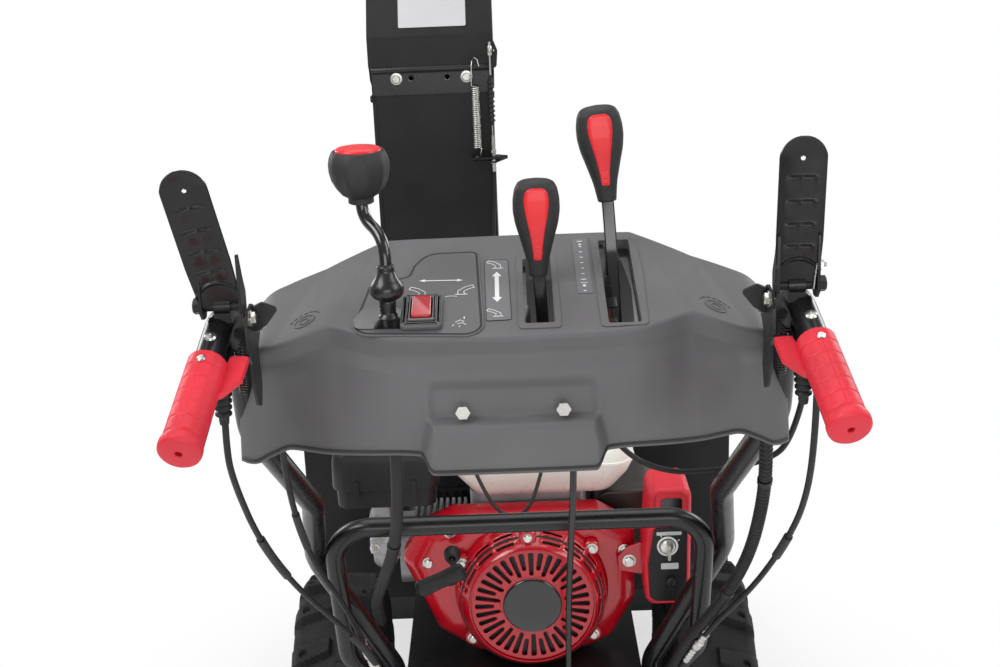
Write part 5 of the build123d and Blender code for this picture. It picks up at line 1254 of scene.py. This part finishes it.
def build_cable_head(side, word):
    """The bracket inboard of the paddle with its bolt, the return spring and the ribbed cable boot."""
    outline = [(-628, 984), (-616, 996), (-594, 998), (-568, 986), (-556, 966), (-584, 944), (-612, 940),
               (-630, 956)]
    plate(f"handle_bracket_{word}", rounded(outline, 6, 4), (side * 250 - 1.3, 0, 0), AHEAD, RISE, 2.6,
          GLOSS_SATIN, bevel=0.0005)
    for y, z, size in ((-604, 986, 11), (-576, 970, 9)):
        hex_bolt(f"handle_bolt_{word}_{-y}", (side * 248.6, y, z), (-side, 0, 0), size, 5)
    coil = []
    for k in range(17 * 12):
        turn = 2 * pi * k / 12
        share = k / (17 * 12)
        coil.append((side * 267 + 3.8 * cos(turn), -588 + 3.8 * sin(turn) + 6 * share, 950 - 48 * share))
    hook = [(side * 264, -588, 960), (side * 266, -588, 954)]
    mesh_pipe(f"handle_spring_{word}", hook + coil, 0.9, HEAT_STEEL, steps=6)
    tab = rounded([(0, -14), (0, 16), (-12, 22), (-27, 14), (-14, -4)], 3, 4)
    plate(f"handle_tab_{word}", [(x * side, z) for x, z in tab], (side * 250, -592, 980), ACROSS,
          (0, -0.3, 0.95), 2.4, GLOSS_SATIN, bevel=0.0005)
    stay = rounded([(-604, 958), (-584, 962), (-566, 944), (-560, 906), (-572, 884), (-590, 892),
                    (-604, 920)], 5, 4)
    plate(f"handle_stay_{word}", stay, (side * 253 - 1.3, 0, 0), AHEAD, RISE, 2.6, GLOSS_SATIN,
          bevel=0.0005)
    boot = [(0.01, -4), (4.6, -4), (5.2, 0)]
    for fold in range(8):
        boot += [(5.2 + 0.5 * fold, 4 + fold * 7), (8.4 + 0.45 * fold, 6.6 + fold * 7),
                 (8.4 + 0.45 * fold, 8 + fold * 7), (5.6 + 0.5 * fold, 10 + fold * 7)]
    boot += [(9.6, 62), (9.6, 70), (7, 72), (0.01, 72)]
    foot = Vector((side * 286, -598, 880))
    turned(f"cable_boot_{word}", boot, foot, on_bar(side, 150, -16) - foot, RUBBER, steps=32, angle=60)


for side, word in SIDES:
    build_grip(side, word)
    build_paddle(side, word)
    build_trigger(side, word)
    build_cable_head(side, word)


# ------------------------------------------------------------------ engine
CRANK = Vector((15, 0, 425))
TANK = (36, 5)
CAP = (76, 20)
AIR_BOX = (-184, -12)
CARBURETTOR = (-195, -30)
ROPE_X, ROPE_Z = -92, 500
CONTROL_X, CONTROL_Z = 202, 505
KEY_Z = 502
LABEL_Y = -149.5
COVER_BASE = -114
COVER_R, FACE_R = 106, 84


def around_crank(y, radius, turn):
    """A point round the crankshaft, turn in degrees from +X towards the top."""
    return Vector((CRANK.x + radius * cos(radians(turn)), y, CRANK.z + radius * sin(radians(turn))))


def build_shroud():
    """The engine's red shroud and its bolts."""
    corners = [(-63, 322), (-119, 360), (-166, 471), (-138, 516), (-92, 536), (110, 536), (162, 505),
               (162, 400), (128, 340), (92, 322)]
    outline = rounded(corners, 14, 6)
    rings = []
    for y, inset in ((-62, 0), (-88, 0), (-98, 0.012), (-105, 0.045), (-110, 0.1), (-112.5, 0.18),
                     (-112.8, 0.3), (-112.8, 0.45)):
        rings.append([Vector((CRANK.x + (x - CRANK.x) * (1 - inset), y,
                              CRANK.z + (z - CRANK.z) * (1 - inset))) * MM for x, z in outline])
    skinned("shroud_shell", rings, RED_GLOSS_SHADED, nodes=["engine_shroud"], angle=30)
    for name, x, z in (("left", -128, 470), ("low", 30, 333), ("right", 146, 480), ("top", -96, 516)):
        hex_bolt(f"shroud_bolt_{name}", (x, -111, z), REAR, 11, 6)


def slotted(row, turn):
    """Whether a cell of the cover's shoulder is open: three rows of arcs, more on the right-hand side."""
    if row not in (3, 5, 7):
        return False
    if 28 <= turn < 84 or 100 <= turn < 168 or -30 <= turn < 20:
        return (turn // 4) % 5 != 0
    return False


def build_cover():
    """The fan cover's slotted shoulder, and the dark liner seen through its slots."""
    steps = 90
    points, faces = [], []
    for y, radius in ((-114, 107.5), (-119, 104), (-134, 104), (-138, 103), (-142, 101.2), (-145, 99.6),
                      (-149, 97.2), (-152, 95.2), (-156, 92.6), (-159.5, 90.4), (-162.6, 88), (-164, 86.2),
                      (-163.4, 85.2), (-159, 84.8)):
        points += [around_crank(y, radius, 360 * k / steps) * MM for k in range(steps)]
    rows = len(points) // steps
    for row in range(rows - 1):
        for k in range(steps):
            turn = 360 * k / steps
            turn = turn - 360 if turn > 180 else turn
            if slotted(row, turn):
                continue
            here, after = row * steps + k, row * steps + (k + 1) % steps
            faces.append((here, after, after + steps, here + steps))
    finish_mesh("cover_ring", mesh_from("cover_ring", points, faces), RED_GLOSS_SHADED, nodes=["fan_cover"],
                thickness=1.6 * MM, angle=35)
    turned("cover_liner", [(COVER_R - 7, 0), (COVER_R - 7, 34), (COVER_R - 12, 36), (2, 36), (2, 0)],
           (CRANK.x, COVER_BASE, CRANK.z), REAR, PLASTIC, slot="red_paint", steps=96)


def build_face():
    """The starter's face: a red disc with radial slots round a plain black emblem disc."""
    outline = ellipse(2 * FACE_R + 2, 2 * FACE_R + 2, 120)
    holes = []
    for k in range(36):
        inner = 45 if k % 2 else 53
        holes.append(turned_by(rounded([(inner, -2.6), (79, -3.7), (79, 3.7), (inner, 2.6)], 2.4, 3),
                               10 * k))
    plate("starter_face", outline, (CRANK.x, -157, CRANK.z), ACROSS, RISE, 3, RED_GLOSS_SHADED, holes=holes,
          bevel=0.0008)
    turned("starter_well", [(0.01, 0), (FACE_R, 0), (FACE_R, 2), (0.01, 2)], (CRANK.x, -151, CRANK.z), REAR,
           PLASTIC, steps=72)
    turned("emblem_disc", [(0.01, 0), (40, 0), (40.5, 3.5), (39.6, 5), (38.6, 5.6), (37.6, 5.2), (20, 5.4),
                           (0.01, 5.5)], (CRANK.x, -158, CRANK.z), REAR, GLOSS_BLACK, steps=96)
    boss = around_crank(-140, 100, 92)
    turned("cover_boss", [(0.01, 0), (12, 0), (12, 14), (10, 16), (6, 16.5), (5.6, 14), (0.01, 14)], boss,
           REAR, RED_GLOSS_SHADED, steps=36)
    for turn in (38, 92, 152, 218, 322):
        spot = around_crank(-147, 108 if turn != 92 else 100, turn)
        if turn != 92:
            turned(f"cover_lug_{turn}", [(0.01, 0), (11, 0), (11, 9), (9.6, 10.4), (0.01, 10.4)],
                   spot + Vector((0, 30, 0)), REAR, RED_GLOSS_SHADED, steps=32)
            spot = spot + Vector((0, 20, 0))
        else:
            spot = spot - Vector((0, 8, 0))
        hex_bolt(f"cover_bolt_{turn}", spot, REAR, 10, 6)


def build_handle():
    """The starter's pull handle, its stem and the rope's guide."""
    start, end = Vector((-137, -228, 489)), Vector((-72, -228, 518))
    along, across, up = axes_for(end - start, Vector(AHEAD))
    length = (end - start).length
    rings = []
    for k in range(41):
        share = k / 40
        edge = min(share, 1 - share) * length
        cap = sqrt(max(0.02, 1 - (1 - min(1, edge / 8)) ** 2))
        waist = 1 - 0.16 * sin(pi * share) + (0.03 if k % 4 == 0 and 6 < k < 34 else 0)
        rings.append([(start + along * length * share + across * 8.6 * cap * waist * cos(a) + up * 13.2
                       * cap * waist * sin(a)) * MM for a in (2 * pi * s / 36 for s in range(36))])
    skinned("starter_grip", rings, PLASTIC, "starter_pull", nodes=["recoil_handle"], angle=50)
    turned("starter_stem", [(0.01, 0), (7, 0), (9, 4), (8.4, 10), (6.6, 18), (6, 27), (0.01, 27)],
           (ROPE_X, -226, ROPE_Z), AHEAD, PLASTIC, "starter_pull", steps=36)
    turned("rope_guide", [(3.2, 6), (3.4, 0), (5, -1.6), (9, 0), (11, 6), (12, 16), (3.2, 16)],
           (ROPE_X, -160, ROPE_Z), AHEAD, PLASTIC, steps=40)


def tank_ring(x, y, half_x, half_y, corner, z):
    """One level of a box with rounded corners, in metres."""
    return [Vector((x + p, y + q, z)) * MM for p, q in box_outline(2 * half_x, 2 * half_y, corner, 9)]


def build_tank():
    """The cream fuel tank with its neck and ribbed cap."""
    shape = [(549.5, 92, 66, 20), (552, 99, 73, 24), (560, 106, 78, 28), (580, 121, 89, 32),
             (594, 127, 93, 34), (597, 128, 93.5, 34), (598, 130, 95, 35), (601, 130, 95, 35),
             (602, 128, 93.5, 34), (610, 128, 93, 34), (624, 126, 91, 34), (634, 121, 86, 34),
             (640, 112, 77, 34), (643, 98, 64, 32), (643.8, 70, 40, 26)]
    rings = [tank_ring(*TANK, *line[1:], line[0]) for line in shape]
    skinned("tank_shell", rings, CREAM, nodes=["fuel_tank"], angle=38)
    turned("tank_neck", [(20, 0), (27, 0), (28, 2), (28, 5), (24, 7), (20, 7)], (*CAP, 642.5), RISE, CREAM,
           steps=60)
    rings = []
    for reach, size, ribs in ((0, 27, 0.2), (1, 28.5, 1), (10, 29, 1), (13.5, 28, 0.8), (15.4, 25, 0.2),
                              (16, 20, 0), (14.6, 18.6, 0), (14.6, 0.02, 0)):
        ring = []
        for turn in (2 * pi * s / 144 for s in range(144)):
            radius = size + ribs * 1.6 * max(0, cos(12 * turn))
            ring.append(Vector((CAP[0] + radius * cos(turn), CAP[1] + radius * sin(turn), 651 + reach))
                        * MM)
        rings.append(ring)
    skinned("cap_shell", rings, PLASTIC, "cap", nodes=["fuel_cap"], angle=35)
    bar = box_outline(34, 7, 3, 4)
    plate("cap_bar", bar, (*CAP, 665.4), ACROSS, AHEAD, 3, PLASTIC, "cap", bevel=0.0006)


def build_air_box():
    """The air box: tray, lid, ribs and clips."""
    lower = [(542, 66, 12), (544, 69, 15), (568, 70, 16), (571, 70, 16)]
    lid = [(571.5, 74, 18), (575, 75, 18), (612, 74, 18), (626, 71, 20), (635, 64, 20), (640, 54, 20),
           (641.6, 40, 18)]
    for name, shape in (("air_box_tray", lower), ("air_box_lid", lid)):
        rings = [tank_ring(*AIR_BOX, half, half, corner, z) for z, half, corner in shape]
        skinned(name, rings, PLASTIC, nodes=["air_box"] if name == "air_box_lid" else (), angle=38)
    for k, x in enumerate((-222, -203, -184, -165, -146)):
        rib = box_outline(6, 92, 2.5, 4)
        plate(f"air_box_rib_{k}", rib, (x, AIR_BOX[1], 640.4), ACROSS, AHEAD, 1.4, PLASTIC, bevel=0.0005)
    for side in (-1, 1):
        clip = rounded([(-4, 0), (4, 0), (4, 26), (-4, 26)], 2, 3)
        plate(f"air_box_clip_{'left' if side < 0 else 'right'}", clip, (AIR_BOX[0] + side * 40, -86.4, 560),
              ACROSS, RISE, 2, PLASTIC, bevel=0.0005)


def build_carburettor():
    """The carburettor with its bowl, bolts, spring and lever."""
    turned("carburettor_bowl", [(0.01, 0), (9, 0), (15, 2), (17.6, 7), (18, 22), (19, 23), (19, 26),
                                (0.01, 26)], (*CARBURETTOR, 430), RISE, CAST, steps=48)
    levels = ((456, 17), (458, 20), (478, 20), (480, 17), (500, 17), (502, 19.6), (510, 19.6), (512, 15),
              (540, 15))
    rings = [tank_ring(*CARBURETTOR, half, half + 3, 7, z) for z, half in levels]
    skinned("carburettor_body", rings, CAST, nodes=["carburettor"], angle=35)
    for k, (x, z) in enumerate(((-208, 468), (-184, 468), (-196, 490), (-206, 506))):
        hex_bolt(f"carburettor_bolt_{k}", (x, -53.5, z), REAR, 9, 5)
    coil = [(-176 + 4 * cos(2 * pi * k / 12), -58 + 4 * sin(2 * pi * k / 12), 452 + 0.35 * k)
            for k in range(120)]
    mesh_pipe("throttle_spring", coil, 0.8, STEEL, steps=6)
    lever = rounded([(-6, -6), (22, -3), (22, 3), (-6, 6)], 3, 4)
    plate("throttle_lever", lever, (-196, -60, 484), ACROSS, RISE, 2, STEEL, bevel=0.0004)


def build_control_box():
    """The red control box with its key, reset button, window and blank labels."""
    rings = []
    for y, inset in ((-75.5, 3), (-78, 0.4), (-108, 0), (-143, 0), (-147, 0.8), (-149.8, 2.6),
                     (-150.8, 4.4), (-150.2, 5.4), (-147, 6)):
        corners = [(-30 + inset, -92 + inset), (31 - inset, -92 + inset), (33 - inset, 82 - inset),
                   (-24 + inset, 82 - inset), (-33 + inset, -30)]
        rings.append([Vector((CONTROL_X + p, y, CONTROL_Z + q)) * MM for p, q in rounded(corners, 14, 8)])
    skinned("control_shell", rings, RED_GRIP, nodes=["control_box"], angle=35)
    face = rounded([(-24, -86), (25, -86), (27, 24), (-18, 24), (-26, -30)], 6, 5)
    plate("control_face", face, (CONTROL_X, -147, CONTROL_Z), ACROSS, RISE, 2.4, PLASTIC, bevel=0.0006)
    for name, x, z, wide, tall in (("label_switch", 204, 521, 34, 5), ("label_breaker", 205, 472, 24, 9)):
        blank = box_outline(wide, tall, 1, 3)
        plate(name, blank, (x, LABEL_Y, z), ACROSS, RISE, 0.4, LABEL_WHITE)
    plate("key_ring_print", ellipse(29, 29, 40), (CONTROL_X, LABEL_Y, KEY_Z), ACROSS, RISE, 0.7,
          WHITE_PRINT, slot="black_plastic", holes=[ellipse(23.2, 23.2, 40)])
    for k, turn in enumerate((120, 90, 30)):
        tick = rounded([(-0.6, 16), (0.6, 16), (0.6, 19), (-0.6, 19)], 0.3, 2)
        plate(f"key_mark_{k}", turned_by(tick, turn - 90), (CONTROL_X, LABEL_Y, KEY_Z), ACROSS, RISE, 0.4,
              WHITE_PRINT, slot="black_plastic")
    turned("key_barrel", [(0.01, 0), (10.6, 0), (10.8, 20), (10, 23), (8.4, 24), (0.01, 24)],
           (CONTROL_X, -129, KEY_Z), REAR, STEEL, "key", nodes=["ignition_key"], steps=40)
    bow = box_outline(4, 22, 1.6, 4)
    plate("key_bow", bow, (CONTROL_X, -152, KEY_Z), ACROSS, RISE, 20, STEEL, "key", bevel=0.0006)
    turned("reset_cap", [(0.01, 0), (6.8, 0), (6.8, 22), (6, 26), (4, 27), (0.01, 27.2)], (206, -129, 450),
           REAR, PLASTIC, "reset", nodes=["reset_button"], steps=32)
    window = rounded([(-13, -17), (18, -17), (18, 17), (-10, 17)], 4, 4)
    plate("control_window", window, (204, -147, 556), ACROSS, RISE, 3.4, GLOSS_BLACK, bevel=0.0008)
    shelf = rounded([(-21, -22), (26, -22), (26, 26), (-17, 26)], 6, 4)
    plate("control_rim", shelf, (204, -146.5, 556), ACROSS, RISE, 3, RED_GRIP, bevel=0.001)
    ear = rounded([(-30, -16), (4, -24), (4, 26), (-16, 20), (-32, 4)], 5, 4)
    plate("control_ear", ear, (168, -118, 470), ACROSS, RISE, 3, RED_GLOSS_SHADED, bevel=0.0008)
    hex_bolt("control_bolt", (152, -121, 468), REAR, 12, 6)


build_shroud()
build_cover()
build_face()
build_handle()
build_tank()
build_air_box()
build_carburettor()
build_control_box()

# the muffler is darker than the steel it shares its slot with
dark_exhaust = frame["nodes"]["muffler"]
dark_exhaust.data.materials.clear()
dark_exhaust.data.materials.append(HEAT_STEEL)


# ------------------------------------------------------------------ cables, hose and harness
CABLE_ROUTES = {
    "left_drive_cable": (
        [(-283, -600, 915), (-288, -596, 850), (-291, -560, 795), (-285, -486, 692), (-262, -405, 590),
         (-222, -318, 486), (-192, -266, 410), (-180, -244, 345)], 3.5),
    "left_steering_cable": (
        [(-246, -520, 850), (-249, -500, 790), (-252, -432, 690), (-245, -366, 598), (-226, -305, 520),
         (-204, -276, 440), (-190, -262, 372)], 3.5),
    "throttle_hose": (
        [(-128, -450, 868), (-133, -430, 800), (-138, -395, 700), (-150, -345, 612), (-172, -308, 545),
         (-190, -262, 490), (-188, -215, 440)], 7.5),
    "shift_rod": ([(66, -445, 866), (66, -432, 745), (62, -330, 578), (60, -262, 450), (60, -220, 340)], 4),
    "harness_conduit": (
        [(262, -525, 860), (266, -518, 798), (273, -468, 712), (269, -398, 604), (242, -322, 497),
         (202, -278, 420), (188, -252, 352)], 6.2),
    "right_drive_cable": (
        [(296, -612, 915), (299, -600, 848), (305, -540, 745), (297, -470, 658), (276, -380, 555),
         (232, -306, 458), (202, -268, 380)], 3.5),
    "right_steering_cable": (
        [(312, -470, 830), (309, -432, 764), (288, -382, 722), (240, -330, 690), (182, -298, 676),
         (128, -292, 704), (96, -300, 760)], 3.5),
}


def spaced(route, count):
    """Places at equal steps along a route, in millimetres."""
    places = line_points(route)
    reaches = [0.0]
    for before, after in zip(places, places[1:]):
        reaches.append(reaches[-1] + (after - before).length)
    result = []
    for k in range(count):
        want = reaches[-1] * k / (count - 1)
        spot = next((n for n in range(1, len(reaches)) if reaches[n] >= want - 1e-9), len(reaches) - 1)
        gap = reaches[spot] - reaches[spot - 1] or 1
        result.append(places[spot - 1].lerp(places[spot], (want - reaches[spot - 1]) / gap) / MM)
    return result


def part_way(route, start, end, count):
    """Places along one stretch of a route, given as shares of its length."""
    dense = spaced(route, 400)
    return [tuple(dense[round((start + (end - start) * k / (count - 1)) * 399)]) for k in range(count)]


def ribs(share, low, high, count):
    """The radius of a ribbed conduit at a share of its length."""
    return low + (high - low) * (0.5 + 0.5 * cos(2 * pi * count * share)) ** 0.5


for number, (name, (route, radius)) in enumerate(CABLE_ROUTES.items()):
    pipe(name, route, radius, RUBBER if name != "shift_rod" else TUBE_BLACK, slot="cable_rubber",
         nodes=["control_cables"] if number == 0 else ())

conduit = CABLE_ROUTES["harness_conduit"][0]
mesh_pipe("conduit_ribs", [tuple(p) for p in spaced(conduit, 560)], lambda share: ribs(share, 5.8, 7.6, 92),
          RUBBER, steps=18)
SLEEVES = (("left_drive_cable", 0.36, 0.5, 5.0), ("left_steering_cable", 0.3, 0.44, 4.6),
           ("left_drive_cable", 0.78, 0.9, 5.2), ("right_drive_cable", 0.42, 0.5, 5.2))
for name, start, end, size in SLEEVES:
    route = CABLE_ROUTES[name][0]
    mesh_pipe(f"{name}_sleeve_{int(start * 100)}", part_way(route, start, end, 24), size, SOFT_BLACK,
              slot="cable_rubber", steps=20)
for name, start in (("left_drive_cable", 0.9), ("left_steering_cable", 0.86), ("right_drive_cable", 0.86)):
    route = CABLE_ROUTES[name][0]
    mesh_pipe(f"{name}_adjuster", part_way(route, start, min(1, start + 0.1), 40),
              lambda share: 4.6 + 1.6 * (0.3 < share < 0.5) + 0.5 * (0.5 + 0.5 * cos(60 * share)), STEEL,
              steps=18)
for name, share, size in (("harness_conduit", 0.2, 8.4), ("harness_conduit", 0.62, 8.4),
                          ("throttle_hose", 0.55, 8.6), ("throttle_hose", 0.12, 8.6)):
    route = CABLE_ROUTES[name][0]
    mesh_pipe(f"{name}_tie_{int(share * 100)}", part_way(route, share, share + 0.012, 4), size, PLASTIC,
              slot="cable_rubber", steps=20)

# a thin loop of black lead hanging in front of the tank
lead = [(-60, -84, 602), (-50, -118, 590), (-28, -150, 562), (2, -160, 556), (26, -140, 580),
        (40, -86, 618)]
pipe("tank_lead", lead, 2.6, RUBBER)

# the right-hand steering cable's end carries on under the console
pipe("steering_cable_end", [(96, -300, 760), (92, -326, 800), (82, -368, 848), (78, -388, 884)], 3.5,
     RUBBER)


# ------------------------------------------------------------------ wheels
AXLE_Z = 190
LUGS = 16
TYRE_MIDDLE = 272
TYRE_PROFILE = [(-46, 80.5), (-50, 84), (-54, 92), (-58, 106), (-61, 124), (-62, 142), (-61.5, 156),
                (-59.5, 165), (-56, 171), (-51, 174)]
for step in range(35):
    TYRE_PROFILE.append((-48 + 96 * step / 34, 175 + 1.2 * cos(pi * (step - 17) / 34)))
TYRE_PROFILE += [(-x, r) for x, r in TYRE_PROFILE[:10][::-1]]


def lug_at(x, turn):
    """The tread's height at a place across the tyre and a turn in lug pitches."""
    side_turn = turn if x < 0 else turn + 0.5
    share = abs(x) / 62
    if share < 0.06:
        return 0.0
    middle = 0.30 * share
    spot = (side_turn - middle) % 1
    half = 0.19 + 0.05 * share
    height = smoothstep((half - abs(spot - 0.5)) / 0.045)
    if share > 0.55 and abs(spot - 0.5) < 0.045 and 0.62 < share < 0.76:
        height *= 0.55
    return float(height)


def build_tyre(side, word):
    """The tyre, swept round the axle with its lugs."""
    steps = 384
    points, faces = [], []
    count = len(TYRE_PROFILE)
    for k in range(steps):
        turn = 2 * pi * k / steps
        for x, radius in TYRE_PROFILE:
            lift = lug_at(x, k * LUGS / steps)
            if radius > 172:
                tall = 13.2 * lift
            elif radius > 140:
                tall = lift * 9.0 * smoothstep((radius - 140) / 32)
            else:
                tall = 0.0
            size = min(189.8, radius + tall)
            bulge = 0.48 * lift * smoothstep((radius - 146) / 14) if abs(x) > 50 else 0.0
            wide = x + (bulge if x > 0 else -bulge)
            points.append(Vector((side * TYRE_MIDDLE + wide, size * cos(turn), AXLE_Z + size * sin(turn)))
                          * MM)
    for k in range(steps):
        for step in range(count - 1):
            here = k * count + step
            after = ((k + 1) % steps) * count + step
            faces.append((here, here + 1, after + 1, after))
        faces.append((k * count, ((k + 1) % steps) * count, ((k + 1) % steps) * count + count - 1,
                      k * count + count - 1))
    finish_mesh(f"tyre_shell_{word}", mesh_from(f"tyre_shell_{word}", points, faces), TYRE, f"wheel_{word}",
                nodes=[f"tyre_{word}"], angle=36)


def build_rim(side, word):
    """The rim's bolts, ring, hub cap and valve, on the outer face."""
    face = side * (TYRE_MIDDLE - 3)
    body = f"wheel_{word}"
    for turn in range(4):
        angle = radians(45 + 90 * turn)
        hex_bolt(f"rim_bolt_{word}_{turn}", (face, 32 * cos(angle), AXLE_Z + 32 * sin(angle)), (side, 0, 0),
                 12, 6, body)
    turned(f"rim_ring_{word}", [(72, -1), (77, -1), (78.5, 3), (79.6, 12), (78, 14), (75, 13), (73, 6),
                                (72, 1)], (side * (TYRE_MIDDLE + 40), 0, AXLE_Z), (side, 0, 0), POWDER,
           body, steps=72)
    turned(f"hub_sleeve_{word}", [(10.2, 0), (22, 0), (23, 2), (23, 30), (21, 33), (10.2, 33)],
           (face, 0, AXLE_Z), (side, 0, 0), POWDER, body, steps=48)
    turned(f"valve_{word}", [(0.01, -4), (5, -4), (5.4, 0), (4, 12), (3.4, 13), (3.4, 26), (2.6, 27),
                             (0.01, 27)], (side * 286, -60, AXLE_Z), (side, 0, 0), RUBBER, body, steps=24)


for side, word in SIDES:
    build_tyre(side, word)
    build_rim(side, word)


# ------------------------------------------------------------------ finish
bpy.context.scene.view_settings.view_transform = "Standard"
bpy.context.view_layer.update()
